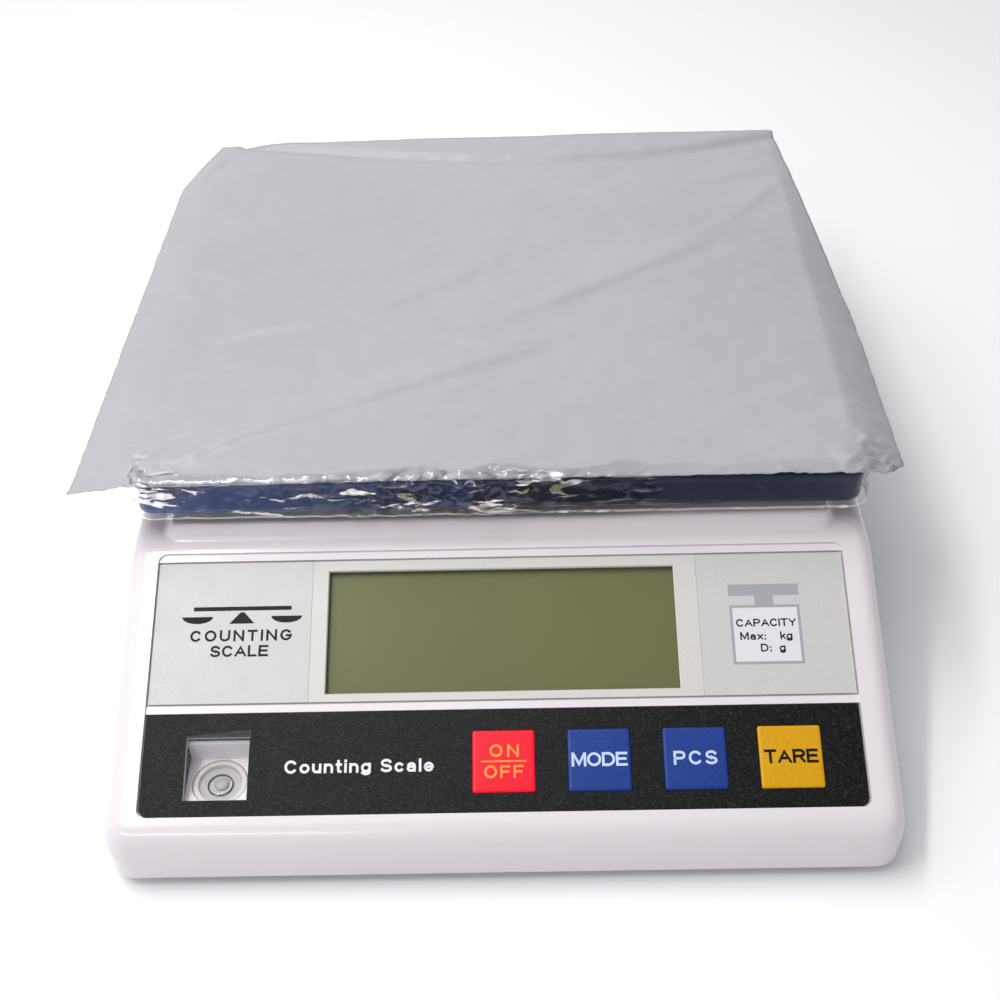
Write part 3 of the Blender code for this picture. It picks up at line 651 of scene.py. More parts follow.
def make_housing():
    """The shell with the panel's recess, its windows, and the holes for the posts and the inlet."""
    shell = housing_body()
    cut(shell, housing_hollow())
    inset = 0.0055
    raised = rounded_rectangle((-PLATEAU_HALF + inset, PLATEAU_HALF - inset),
                               (PLATEAU_FRONT + inset, PLATEAU_BACK - inset), 0.003, 4)
    cut(shell, prism(raised, (LEDGE_Z - 0.01, PLATEAU_Z - WALL)))
    width = (-PANEL_HALF, PANEL_HALF)
    cut(shell, on_panel(prism(rounded_rectangle(width, (-0.0002, PANEL_TOP), 0.003), (0, 0.01))))
    depth = -SHEET - 0.0003
    keys = prism(rounded_rectangle(width, (-0.0002, KEY_FIELD + 0.0002), KEY_CORNERS), (depth, 0.01))
    display = block(width, grown(DISPLAY_FIELD, 0.0004), (depth - 0.0003, 0.01))
    cut(shell, on_panel(keys), on_panel(display))
    windows = [block(*key_square(node, 0.0003), THROUGH) for node in KEY_NODES]
    windows.append(block(grown(DISPLAY_U, 0.0004), grown(DISPLAY_V, 0.0004), THROUGH))
    windows.append(block(grown(LEVEL_U, 0.0001), grown(LEVEL_V, 0.0001), (-0.006, 0.01)))
    cut(shell, *[on_panel(window) for window in windows])
    holes = [turned([(0.009, LEDGE_Z - 0.01), (0.009, PLATEAU_Z + 0.01)], 48, middle_of(pad))
             for pad in numbered("pan_pad", 4)]
    inlet = middle_of("dc_jack")
    nose = turned([(0.0043, -0.01), (0.0043, 0.01)], 40)
    nose.transform(Matrix.Translation((inlet.x, BACK, inlet.z)) @ Matrix.Rotation(math.radians(90), 4, "X"))
    cut(shell, *holes, nose)
    repaint(shell, "white", 38)
    fit(shell, "base", "upper_housing")


# ---- sloping panel ---------------------------------------

def key_centre(node):
    return middle_of(node).x, KEY_V


def key_square(node, by):
    """The key's ranges along u and v, grown by that much."""
    u, v = key_centre(node)
    reach = KEY_SIZE / 2 + by
    return (u - reach, u + reach), (v - reach, v + reach)


def make_key_sheet():
    sides = (-PANEL_HALF + 0.0005, PANEL_HALF - 0.0005)
    outline = rounded_rectangle(sides, (0, KEY_FIELD), KEY_CORNERS)
    sheet = new_object("key_sheet", on_panel(prism(outline, (-SHEET, 0))), "black")
    holes = [block(*key_square(node, 0.0001), THROUGH) for node in KEY_NODES]
    holes.append(block(LEVEL_U, LEVEL_V, THROUGH))
    cut(sheet, *[on_panel(hole) for hole in holes])
    repaint(sheet, "black", 30)
    fit(sheet, "base", "key_overlay")


def make_display_sheets():
    """The two side labels and the bezel between them, butted together with fine grooves."""
    left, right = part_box("display_bezel")
    v_span = grown(DISPLAY_FIELD, -0.0003)
    spans = (("label_left", "left_label", (-PANEL_HALF + 0.0005, left.x - 0.00006), "label"),
             ("label_right", "right_label", (right.x + 0.00006, PANEL_HALF - 0.0005), "label"),
             ("bezel", "display_bezel", (left.x, right.x), "bezel"))
    for name, node, u_span, finish in spans:
        sheet = new_object(name, on_panel(block(u_span, v_span, (-SHEET, 0))), None)
        if name == "bezel":
            chamfered = ((-0.003, 0.0), (-SHEET + 0.0001, 0.0), (0.0002, 0.0005))
            window = loft([[(u, v, n) for u, v in bar(grown(DISPLAY_U, by), grown(DISPLAY_V, by))]
                           for n, by in chamfered])
            cut(sheet, on_panel(window))
        repaint(sheet, finish)
        soften(sheet, 0.00005)
        fit(sheet, "base", node)


def make_key(node, finish):
    """An embossed key: flat face, a soft step down all round."""
    profile = [(-0.0020, 0.0), (0.00005, 0.0), (0.00025, 0.00008), (0.0004, 0.00025), (KEY_PROUD, 0.0006),
               (KEY_PROUD + 0.00002, 0.0012)]

    def outline(pull):
        return rounded_rectangle(*key_square(node, -pull), max(0.0007 - pull * 0.4, 0.0002), 4)

    face = loft([[(u, v, n) for u, v in outline(pull)] for n, pull in profile])
    face = new_object("cap_" + node[4:], on_panel(face), finish, sharp=60)
    fit(face, node + "_body", node)


def bow(x, y, x_radius, y_radius, start, end):
    """Part of an ellipse, in degrees, as points of a pen stroke."""
    steps = max(3, round(abs(end - start) / 12))
    turns = [math.radians(start + (end - start) * i / steps) for i in range(steps + 1)]
    return [(x + x_radius * math.cos(t), y + y_radius * math.sin(t)) for t in turns]


LOW = 0.66               # height of a small letter beside a capital
BROAD = 1.12             # all letters are this much wider than the table says
GLYPHS = {  # width beside a capital's height, then pen strokes in a box from 0 to 1
    "A": (0.88, [[(0, 0), (0.5, 1), (1, 0)], [(0.2, 0.32), (0.8, 0.32)]]),
    "C": (0.84, [bow(0.5, 0.5, 0.5, 0.5, 42, 318)]),
    "D": (0.82, [[(0, 0), (0, 1), (0.4, 1), *bow(0.45, 0.5, 0.55, 0.5, 80, -80), (0.4, 0), (0, 0)]]),
    "E": (0.70, [[(1, 1), (0, 1), (0, 0), (1, 0)], [(0.1, 0.52), (0.9, 0.52)]]),
    "F": (0.66, [[(1, 1), (0, 1), (0, 0)], [(0.1, 0.5), (0.85, 0.5)]]),
    "G": (0.88, [[*bow(0.5, 0.5, 0.5, 0.5, 42, 345), (1, 0.45), (0.6, 0.45)]]),
    "I": (0.0, [[(0, 0), (0, 1)]]),
    "L": (0.64, [[(0, 1), (0, 0), (1, 0)]]),
    "M": (0.94, [[(0, 0), (0, 1)], [(0.06, 1), (0.5, 0.06), (0.94, 1)], [(1, 1), (1, 0)]]),
    "N": (0.80, [[(0, 0), (0, 1)], [(0.04, 1), (0.96, 0)], [(1, 0), (1, 1)]]),
    "O": (0.90, [bow(0.5, 0.5, 0.5, 0.5, 0, 360)]),
    "P": (0.74, [[(0, 0), (0, 1), (0.55, 1), *bow(0.6, 0.73, 0.4, 0.27, 80, -80), (0.55, 0.46),
                  (0.1, 0.46)]]),
    "R": (0.78, [[(0, 0), (0, 1), (0.55, 1), *bow(0.6, 0.74, 0.4, 0.26, 80, -80), (0.55, 0.48), (0.1, 0.48)],
                 [(0.62, 0.42), (0.98, 0)]]),
    "S": (0.74, [[*bow(0.5, 0.745, 0.46, 0.255, 25, 270), *bow(0.5, 0.245, 0.5, 0.245, 90, -155)]]),
    "T": (0.74, [[(0, 1), (1, 1)], [(0.5, 0.9), (0.5, 0)]]),
    "U": (0.78, [[(0, 1), *bow(0.5, 0.36, 0.5, 0.36, 180, 360), (1, 1)]]),
    "Y": (0.84, [[(0, 1), (0.5, 0.44), (1, 1)], [(0.5, 0.4), (0.5, 0)]]),
    "a": (0.60, [[*bow(0.5, 0.44, 0.42, 0.22, 160, 20), (0.92, 0.36), (0.92, 0)],
                 bow(0.46, 0.19, 0.44, 0.19, 0, 360)]),
    "c": (0.58, [bow(0.5, LOW / 2, 0.5, LOW / 2, 45, 315)]),
    "e": (0.60, [[(0.06, 0.33), (1, 0.33), *bow(0.5, LOW / 2, 0.5, LOW / 2, 12, 315)]]),
    "g": (0.60, [bow(0.5, LOW / 2, 0.5, LOW / 2, 0, 360),
                 [(1, LOW), (1, -0.02), *bow(0.5, -0.06, 0.5, 0.19, -15, -160)]]),
    "i": (0.0, [[(0, 0), (0, LOW)], [(0, 0.97), (0, 1)]]),
    "k": (0.54, [[(0, 0), (0, 1)], [(0.08, 0.3), (0.92, LOW)], [(0.42, 0.42), (1, 0)]]),
    "l": (0.0, [[(0, 0), (0, 1)]]),
    "n": (0.56, [[(0, 0), (0, LOW)], [*bow(0.5, 0.37, 0.5, 0.29, 170, 0), (1, 0)]]),
    "o": (0.62, [bow(0.5, LOW / 2, 0.5, LOW / 2, 0, 360)]),
    "t": (0.30, [[(0.4, 0.97), (0.4, 0.16), (0.55, 0.02), (1, 0.0)], [(0, LOW), (1, LOW)]]),
    "u": (0.56, [[(0, LOW), *bow(0.5, 0.29, 0.5, 0.29, 180, 350)], [(1, LOW), (1, 0)]]),
    "x": (0.56, [[(0, 0), (1, LOW)], [(0, LOW), (1, 0)]]),
    ":": (0.0, [[(0, 0), (0, 0.03)], [(0, LOW - 0.12), (0, LOW - 0.09)]]),
    " ": (0.18, []),
}


def pen_stroke(bm, points, half, n_range, roof):
    """A flat band along the points with square ends; the box from 0 to roof cuts its corners off above."""
    closed = math.dist(points[0], points[-1]) < 1e-9
    if closed:
        points = points[:-1]
    count = len(points)
    sides = []
    for i, (x, y) in enumerate(points):
        before = points[i - 1] if i or closed else None
        after = points[(i + 1) % count] if i < count - 1 or closed else None
        ways = [Vector((b[0] - a[0], b[1] - a[1])).normalized()
                for a, b in ((before, (x, y)), ((x, y), after)) if a and b]
        way = (ways[0] + ways[-1]).normalized()
        reach = half / max(0.45, way.dot(ways[0]))
        here = Vector((x, y))
        if len(ways) == 1:
            here += way * half * (1 if after is None else -1)
        across = Vector((-way.y, way.x)) * reach
        sides.append([Vector((spot.x, min(spot.y if y < half else max(spot.y, 0), roof)))
                      for spot in (here + across, here - across)])
    rings = [[bm.verts.new((a.x, a.y, n)) for a in pair for n in n_range] for pair in sides]
    pairs = list(zip(rings, rings[1:])) + ([(rings[-1], rings[0])] if closed else [])
    for a, b in pairs:
        for i, j in ((0, 1), (1, 3), (3, 2), (2, 0)):
            bm.faces.new((a[i], a[j], b[j], b[i]))
    if not closed:
        for ring in (rings[0], rings[-1]):
            bm.faces.new((ring[0], ring[1], ring[3], ring[2]))


def lettering(name, words, width, height, centre, n, finish, body, weight=0.17):
    """Words of that width and capital height, with the middle of their capitals at (u, v)."""
    pen = height * weight
    drawn = sum(BROAD * GLYPHS[letter][0] * (height - pen) + pen for letter in words)
    gap = (width - drawn) / (len(words) - 1) if len(words) > 1 else 0
    bm = bmesh.new()
    left = centre[0] - width / 2 if len(words) > 1 else centre[0] - drawn / 2
    for letter in words:
        share, strokes = GLYPHS[letter]
        wide = BROAD * share * (height - pen)
        for k, stroke in enumerate(strokes):
            placed = [(left + pen / 2 + x * wide, pen / 2 + y * (height - pen)) for x, y in stroke]
            pen_stroke(bm, placed, pen / 2, (n - 0.00003, n + 0.00003 + 0.000003 * k), height)
        left += wide + pen + gap
    bmesh.ops.translate(bm, verts=bm.verts, vec=(0, centre[1] - height / 2, 0))
    fit(new_object(name, on_panel(bm), finish), body)


def ink(name, shapes, n, finish, body="base"):
    """Flat printed shapes, given as lists of (u, v) points."""
    bm = bmesh.new()
    for outline in shapes:
        add_solid(bm, [[(u, v, n + dn) for u, v in outline] for dn in (-0.00003, 0.00003)])
    fit(new_object(name, on_panel(bm), finish), body)


def bar(u_range, v_range):
    return rounded_rectangle(u_range, v_range, 0)


def frame_of(u_range, v_range, thickness):
    (u0, u1), (v0, v1) = u_range, v_range
    return [bar((u0, u1), (v0, v0 + thickness)), bar((u0, u1), (v1 - thickness, v1)),
            bar((u0, u0 + thickness), (v0 + thickness, v1 - thickness)),
            bar((u1 - thickness, u1), (v0 + thickness, v1 - thickness))]


def make_print():
    """All legends: generic words only."""
    on_key = KEY_PROUD + 0.00004
    on_sheet, on_field = 0.00003, 0.00006
    u, v = key_centre("key_on_off")
    power = "key_on_off_body"
    lettering("print_on", "ON", 0.0094, 0.0041, (u + 0.0002, v + 0.0034), on_key, "orange_ink", power)
    lettering("print_off", "OFF", 0.0126, 0.0041, (u, v - 0.0034), on_key, "orange_ink", power)
    ink("print_bar", [bar((u - 0.0073, u + 0.0073), (v - 0.0003, v + 0.0002))], on_key, "orange_ink", power)
    for node, words, width, finish, weight in (("key_mode", "MODE", 0.0179, "pale_blue_ink", 0.18),
                                               ("key_count", "PCS", 0.0140, "pale_blue_ink", 0.18),
                                               ("key_tare", "TARE", 0.0172, "ink", 0.20)):
        u, v = key_centre(node)
        lettering("print_" + node[4:], words, width, 0.0045, (u, v + 0.0001), on_key, finish,
                  node + "_body", weight)
    for name, words, width, height, centre, finish in (
            ("name", "Counting Scale", 0.0480, 0.0043, (-0.0460, 0.0155), "white_ink"),
            ("title_1", "COUNTING", 0.0340, 0.0039, (-0.0867, 0.0601), "ink"),
            ("title_2", "SCALE", 0.0193, 0.0039, (-0.0870, 0.0547), "ink")):
        lettering("print_" + name, words, width, height, centre, on_sheet, finish, "base", 0.19)
    middle = -0.0867
    beam = bar((middle - 0.0165, middle + 0.0165), (0.0689, 0.0703))
    foot, tip = 0.0042, 0.0006
    post = [(middle - foot, 0.0643), (middle + foot, 0.0643), (middle + tip, 0.0683), (middle - tip, 0.0683)]
    pans = [[(middle + side * 0.0150 + 0.0052 * math.cos(t), 0.0668 + 0.0024 * math.sin(t))
             for t in (math.radians(180 + 15 * i) for i in range(13))] for side in (-1, 1)]
    ink("print_balance", [beam, post, *pans], on_sheet, "ink")
    symbol = [bar((0.0767, 0.1003), (0.0710, 0.0750)), bar((0.0853, 0.0915), (0.0676, 0.0710))]
    frame_bars = frame_of((0.0767, 0.1001), (0.0471, 0.0676), 0.0009)
    ink("print_capacity_frame", [*symbol, *frame_bars], on_sheet, "grey_ink")
    ink("print_capacity_field", [bar((0.0776, 0.0992), (0.0480, 0.0667))], on_sheet - 0.00002, "pale_ink")
    for name, words, width, centre in (("capacity", "CAPACITY", 0.0200, (0.0885, 0.0614)),
                                       ("max", "Max:", 0.0085, (0.0838, 0.0568)),
                                       ("kg", "kg", 0.0040, (0.0948, 0.0568)),
                                       ("d", "D:", 0.0035, (0.0878, 0.0527)),
                                       ("g", "g", 0.0020, (0.0932, 0.0527))):
        lettering("print_" + name, words, width, 0.0027, centre, on_field, "ink", "base", 0.18)


def make_level():
    """A round vial with a black ring and a bubble, below a clear film whose far edge stands up."""
    low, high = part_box("level_cup")
    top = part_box("level_lens")[1].z
    centre = middle_of("level_cup")
    radius, rim = (high.x - low.x) / 2, high.z
    body = [(radius, low.z), (radius, rim - 0.0003), (radius - 0.0003, rim), (radius - 0.0016, rim),
            (radius - 0.0018, rim - 0.0003), (radius - 0.0021, rim - 0.0012), (0.0045, rim - 0.0016),
            (0.0002, rim - 0.0016)]
    cup = new_object("vial_cup", turned(body, 64, centre), "vial", sharp=45)
    ring_radius, ring_width = 0.0040, 0.00022
    dome = [(radius - 0.0019, rim - 0.0007), (radius - 0.0019, top - 0.0004), (radius - 0.0024, top - 0.0001),
            (ring_radius, top), (0.0002, top)]
    lid = new_object("vial_lid", turned(dome, 64, centre), "clear", sharp=60)
    z = rim - 0.0012
    section = ((ring_radius - ring_width, z), (ring_radius + ring_width, z),
               (ring_radius + ring_width, z + 0.0001), (ring_radius - ring_width, z + 0.0001))
    turns = [2 * math.pi * i / 64 for i in range(64)]
    bm = bmesh.new()
    rings = [[bm.verts.new((centre.x + r * math.cos(t), centre.y + r * math.sin(t), h)) for t in turns]
             for r, h in section]
    for k in range(4):
        band(bm, rings[k], rings[(k + 1) % 4])
    ring = new_object("vial_ring", bm, "ink")
    drop = [(0.0002, z - 0.0002), (0.0016, z - 0.0001), (0.0024, z + 0.0002), (0.0019, z + 0.0006),
            (0.0008, z + 0.0008), (0.0002, z + 0.00082)]
    drop = turned(drop, 48, (centre.x + 0.0003, centre.y + 0.0004))
    bubble = new_object("vial_bubble", drop, "bubble", sharp=80)
    fit(cup, "base", "level_cup")
    fit(lid, "base", "level_lens")
    fit(ring, "base")
    fit(bubble, "base")
    u0, u1 = grown(LEVEL_U, -0.0002)
    v0, v1 = LEVEL_V[0] + 0.0003, LEVEL_V[1]
    corners = [(u0, v0, 0.0001), (u1, v0, 0.0001), (u1 + 0.0006, v1 + 0.0022, 0.0008),
               (u0 - 0.0003, v1 + 0.0004, 0.0004)]
    film = loft([[(u, v, n + dn) for u, v, n in corners] for dn in (0.0, 0.0002)])
    fit(new_object("level_film", on_panel(film), "clear"), "base", "level_window")


# ---- pan and its wrapping --------------------------------

PAN_MIDDLE = (PAN_LOW + PAN_HIGH) / 2
PAN_HALF = (PAN_HIGH - PAN_LOW) / 2
PAN_TOP = PAN_HIGH.z
FRONT_EDGE = PAN_LOW.y


def noise_at(points, scale, seed, octaves=3):
    """Fractal noise, about -1 to 1, at each (x, y, z) point."""
    shift = Vector((seed * 13.7, seed * 5.3, seed * 9.1))
    return np.array([noise.fractal(Vector(p) * scale + shift, 0.6, 2.0, octaves) for p in points])


def make_pan_film():
    """The blue film over the pan: a thin skin with small ripples in its skirt."""
    bend, corner, spacing = 0.0026, 0.006, 0.004
    x_range, y_range = (PAN_LOW.x, PAN_HIGH.x), (PAN_LOW.y, PAN_HIGH.y)
    levels = [(PAN_LOW.z + (PAN_TOP - bend - PAN_LOW.z) * i / 6, 0.0) for i in range(7)]
    levels += [(PAN_TOP - bend + bend * math.sin(t), bend * (1 - math.cos(t)))
               for t in (math.radians(15 * i) for i in range(1, 7))]

    def sides(pull):
        outline = rounded_rectangle(grown(x_range, -pull), grown(y_range, -pull), corner - pull)
        return list(zip(outline, outline[1:] + outline[:1]))

    counts = [max(1, round(math.dist(a, b) / spacing)) for a, b in sides(0)]
    bm = bmesh.new()
    loops = [[bm.verts.new((a[0] + (b[0] - a[0]) * i / count, a[1] + (b[1] - a[1]) * i / count, z))
              for (a, b), count in zip(sides(pull), counts) for i in range(count)] for z, pull in levels]
    for low, high in zip(loops, loops[1:]):
        band(bm, low, high)
    bm.faces.new(loops[-1])
    ripples = noise_at([v.co for v in bm.verts], 90, 3)
    for vert, ripple in zip(bm.verts, ripples):
        share = min(1.0, max(0.0, (PAN_TOP - 0.002 - vert.co.z) / 0.004))
        outwards = Vector(((vert.co.x / PAN_HALF.x) ** 3, ((vert.co.y - PAN_MIDDLE.y) / PAN_HALF.y) ** 3, 0))
        vert.co += outwards.normalized() * (ripple * 0.00022 - 0.0001) * share
    film = new_object("blue_film", bm, "navy", sharp=60)
    thicken(film, 0.0002, -1)
    fit(film, "pan", "pan_film")


FOLDS = (  # soft folds of the milky sheet: points on their line, height, width
    (((-0.118, -0.060), (-0.110, -0.051), (-0.091, -0.038), (-0.078, -0.032), (-0.052, -0.021),
      (-0.032, -0.011), (0.004, 0.005), (0.021, 0.012)), 0.0014, 0.0040),
    (((-0.123, -0.053), (-0.112, -0.038), (-0.095, -0.026)), 0.0005, 0.0018),
    (((-0.112, 0.016), (-0.091, 0.023), (-0.071, 0.028), (-0.043, 0.038), (-0.023, 0.049), (-0.003, 0.064)),
     0.0011, 0.0040),
    (((-0.132, -0.006), (-0.113, -0.003), (-0.091, 0.005)), 0.0004, 0.0030),
    (((-0.005, 0.025), (0.022, 0.038), (0.040, 0.049), (0.076, 0.072), (0.095, 0.086)), 0.0011, 0.0036),
    (((-0.022, 0.017), (-0.007, 0.013), (0.004, 0.006)), 0.0006, 0.0020),
    (((0.087, 0.122), (0.105, 0.130), (0.123, 0.133)), 0.0006, 0.0026),
    (((0.095, 0.092), (0.109, 0.108), (0.126, 0.128)), 0.0007, 0.0028),
    (((0.025, 0.125), (0.037, 0.120), (0.051, 0.114)), 0.0004, 0.0026),
    (((-0.132, 0.124), (-0.126, 0.143), (-0.117, 0.156)), 0.0006, 0.0025),
    (((-0.129, 0.067), (-0.114, 0.062), (-0.094, 0.051)), 0.0005, 0.0022),
    (((-0.129, 0.055), (-0.122, 0.049), (-0.113, 0.037)), 0.0005, 0.0018),
    (((0.120, -0.028), (0.135, -0.022)), 0.0005, 0.0010),
    (((-0.132, -0.041), (-0.129, -0.050), (-0.122, -0.058)), 0.0007, 0.0018),
)
BACK_FOLD = ((-0.111, 0.163), (-0.071, 0.156), (-0.039, 0.150), (-0.013, 0.147), (0.025, 0.145),
             (0.064, 0.147), (0.095, 0.154), (0.121, 0.162))


def line_distance(x, y, points):
    """Distance from each point to an open line, and on which side of it the point lies."""
    best = np.full(x.shape, 1.0)
    side = np.zeros(x.shape)
    for (x0, y0), (x1, y1) in zip(points, points[1:]):
        dx, dy = x1 - x0, y1 - y0
        along = np.clip(((x - x0) * dx + (y - y0) * dy) / (dx * dx + dy * dy), 0, 1)
        away = np.hypot(x - x0 - along * dx, y - y0 - along * dy)
        nearer = away < best
        best = np.where(nearer, away, best)
        side = np.where(nearer, np.sign(dx * (y - y0) - dy * (x - x0)), side)
    return best, side


def sheet_edges(t):
    """Left and right edge of the milky sheet at t, from 0 at its front to 1 at its back, as (x, y) points."""
    front, back = FRONT_EDGE + 0.0002, WRAP_BACK - 0.0005
    left_line = ((0.0, -0.1450, front - 0.0015), (0.045, -0.1440, front + 0.010),
                 (0.12, -0.1436, front + 0.028), (0.42, -0.1408, front + 0.092),
                 (0.86, -0.1362, front + 0.192), (1.0, -0.1232, back - 0.0005))
    right_line = ((0.0, 0.1235, front - 0.0005), (0.03, 0.1330, front + 0.004),
                  (0.07, 0.1402, front + 0.013), (0.42, 0.1378, front + 0.092),
                  (1.0, 0.1245, back + 0.0020))

    def at(line):
        for (t0, x0, y0), (t1, x1, y1) in zip(line, line[1:]):
            if t <= t1:
                s = (t - t0) / (t1 - t0)
                return x0 + (x1 - x0) * s, y0 + (y1 - y0) * s
        return line[-1][1:]
    return at(left_line), at(right_line)


def make_wrap():
    """The milky sheet: lies on the pan, turns down past its sides, and holds soft folds."""
    columns, rows = 230, 180
    x, y = np.zeros((rows, columns)), np.zeros((rows, columns))
    for j in range(rows):
        t = (j / (rows - 1)) ** 1.15
        (x0, y0), (x1, y1) = sheet_edges(t)
        s = np.linspace(0, 1, columns)
        x[j] = x0 + (x1 - x0) * s
        y[j] = y0 + (y1 - y0) * s
    past_left = np.clip(-x - PAN_HALF.x + 0.001, 0, None)
    past_right = np.clip(x - PAN_HALF.x + 0.002, 0, None)
    z = np.full(x.shape, PAN_TOP + 0.0006) - past_left * 0.10 - past_left ** 2 * 3
    z -= past_right * 0.32 + past_right ** 2 * 15 * np.clip((PAN_HIGH.y - y) / 0.1, 0, 1)
    for points, height, width in FOLDS:
        away, side = line_distance(x, y, points)
        spread = np.where(side > 0, width * 2.2, width * 0.75)
        (x0, y0), (x1, y1) = points[0], points[-1]
        ends = np.minimum(np.hypot(x - x0, y - y0), np.hypot(x - x1, y - y1))
        taper = np.clip(ends / (0.25 * math.dist(points[0], points[-1]) + 0.004), 0, 1)
        z += height * np.exp(-(away / spread) ** 2) * np.sqrt(taper)
    away, side = line_distance(x, y, BACK_FOLD)
    behind = 1 / (1 + np.exp(-side * away / 0.0007))
    z += 0.0014 * behind - 0.0016 * np.exp(-((away - 0.0015) / 0.0020) ** 2) * (1 - behind)
    flat = np.stack([x.ravel(), y.ravel(), np.zeros(x.size)], 1)
    along = flat @ np.array([[0.90, -0.42, 0], [0.42, 0.90, 0], [0, 0, 1]])
    along[:, 0] *= 0.3
    z += (0.00045 * noise_at(along, 34, 1) + 0.00020 * noise_at(flat, 90, 2)).reshape(x.shape) + 0.0005
    near_edge = np.clip(1 - (x + 0.142) / 0.05, 0, 1) + np.clip(1 - (0.138 - x) / 0.035, 0, 1)
    pulled = flat * np.array([0.5, 2.2, 1])
    z += (0.00045 * noise_at(pulled, 60, 6)).reshape(x.shape) * near_edge
    crumple = 1.3 * np.exp(-(np.hypot(x - 0.131, y - (FRONT_EDGE + 0.010)) / 0.013) ** 2)
    crumple += 0.4 * np.exp(-(np.hypot(x + 0.126, y - (FRONT_EDGE + 0.008)) / 0.012) ** 2)
    crumple += 0.35 * np.exp(-np.abs(y - FRONT_EDGE) / 0.004)
    ridges = np.abs(noise_at(flat, 130, 5, 4)).reshape(x.shape)
    z += crumple * (0.0026 * ridges - 0.0006)
    z += 0.0008 * np.exp(-np.hypot(x + 0.1425, y - FRONT_EDGE) / 0.010)
    over_pan = (np.abs(x) < PAN_HALF.x) & (y < PAN_HIGH.y)
    z = np.where(over_pan, np.maximum(z, PAN_TOP + 0.0003), z)
    bm = bmesh.new()
    net_over(bm, x, y, z)
    wrap = new_object("milky_wrap", bm, "milky", sharp=70)
    thicken(wrap, 0.00018, 0)
    fit(wrap, "pan", "pan_wrap")


def skirt_path(step):
    """Points with outward normals along the pan's skirt: its front and the near part of both sides."""
    corner, reach = 0.006, 0.015
    left, right, front = PAN_LOW.x, PAN_HIGH.x, PAN_LOW.y
    side, width = reach - corner, right - left - 2 * corner
    down, across = round(side / step), int(width / step)

    def bend(x, start):
        turns = [math.radians(start + 90 * i / 8) for i in range(9)]
        return [((x + corner * math.cos(t), front + corner + corner * math.sin(t)),
                 (math.cos(t), math.sin(t))) for t in turns]

    run = [((left, front + reach - side * i / down), (-1, 0)) for i in range(down)]
    run += bend(left + corner, 180)
    run += [((left + corner + width * i / across, front), (0, -1)) for i in range(1, across)]
    run += bend(right - corner, 270)
    return run + [((right, front + corner + side * i / down), (1, 0)) for i in range(1, down + 1)]


def crinkling(x, y):
    """How crumpled the clear film is: most left of the middle and at the pan's front corners."""
    strength = 0.25 + 0.75 * math.exp(-((x + 0.030) / 0.050) ** 2)
    strength += 0.2 * math.exp(-((x + 0.122) / 0.016) ** 2) + 0.9 * math.exp(-((x - 0.126) / 0.010) ** 2)
    return strength * math.exp(-max(0.0, y - PAN_LOW.y - 0.006) / 0.03)


def creased(point, scale, seed):
    """Straight-sided creases: 0 on the crease lines, growing away from them."""
    return abs(noise.noise(point * scale + Vector((seed * 3.1, seed * 7.7, seed * 1.9))))


CREASES = ((0.0024, 62), (0.0016, 150), (0.0007, 360))  # height and scale of each layer


def make_clear_skirt():
    """Crinkled clear film that lies over the milky sheet's front edge and hangs down the pan's skirt."""
    run = skirt_path(0.0009)
    top, bottom = PAN_TOP + 0.0016, SKIRT_HEM
    overlap, turn_radius = 0.0060, 0.0016
    drop = top - turn_radius - bottom
    profile = [(-overlap + (overlap - turn_radius) * i / 9, 0.0) for i in range(9)]
    profile += [(-turn_radius + turn_radius * math.sin(t), turn_radius * (math.cos(t) - 1))
                for t in (math.radians(15 * i) for i in range(6))]
    profile += [(0.0004 * i / 17, -turn_radius - drop * i / 17) for i in range(18)]
    bm = bmesh.new()
    grid = []
    for out, down in profile:
        line = []
        for (px, py), (nx, ny) in run:
            on_top = max(0.0, -out - turn_radius) / overlap
            hem = 0.0006 * noise.noise(Vector((px * 25, py * 25, 7.0))) * max(0.0, -down - turn_radius) / drop
            back_hem = 0.0060 * noise.noise(Vector((px * 60, py * 60, 2.0))) * on_top
            here = Vector((px + nx * (out + 0.0009), py + ny * (out + 0.0009), top + down + hem))
            here += Vector((nx, ny, 0)) * back_hem
            size = crinkling(px, py)
            height = sum(tall * creased(here, scale, seed) for seed, (tall, scale) in enumerate(CREASES, 1))
            flow = 1.0 if on_top == 0 else 1 - 0.75 * min(1.0, on_top)
            height *= size * flow
            facing = max(0.0, min(1.0, (out + turn_radius) / turn_radius))
            lean = Vector((nx * facing, ny * facing, 1 - facing + 0.25))
            line.append(bm.verts.new(here + lean * height))
        grid.append(line)
    net(bm, list(zip(*grid)))
    film = new_object("clear_skirt", bm, "crinkle", sharp=22)
    fit(film, "pan")


# ---- feet ------------------------------------------------

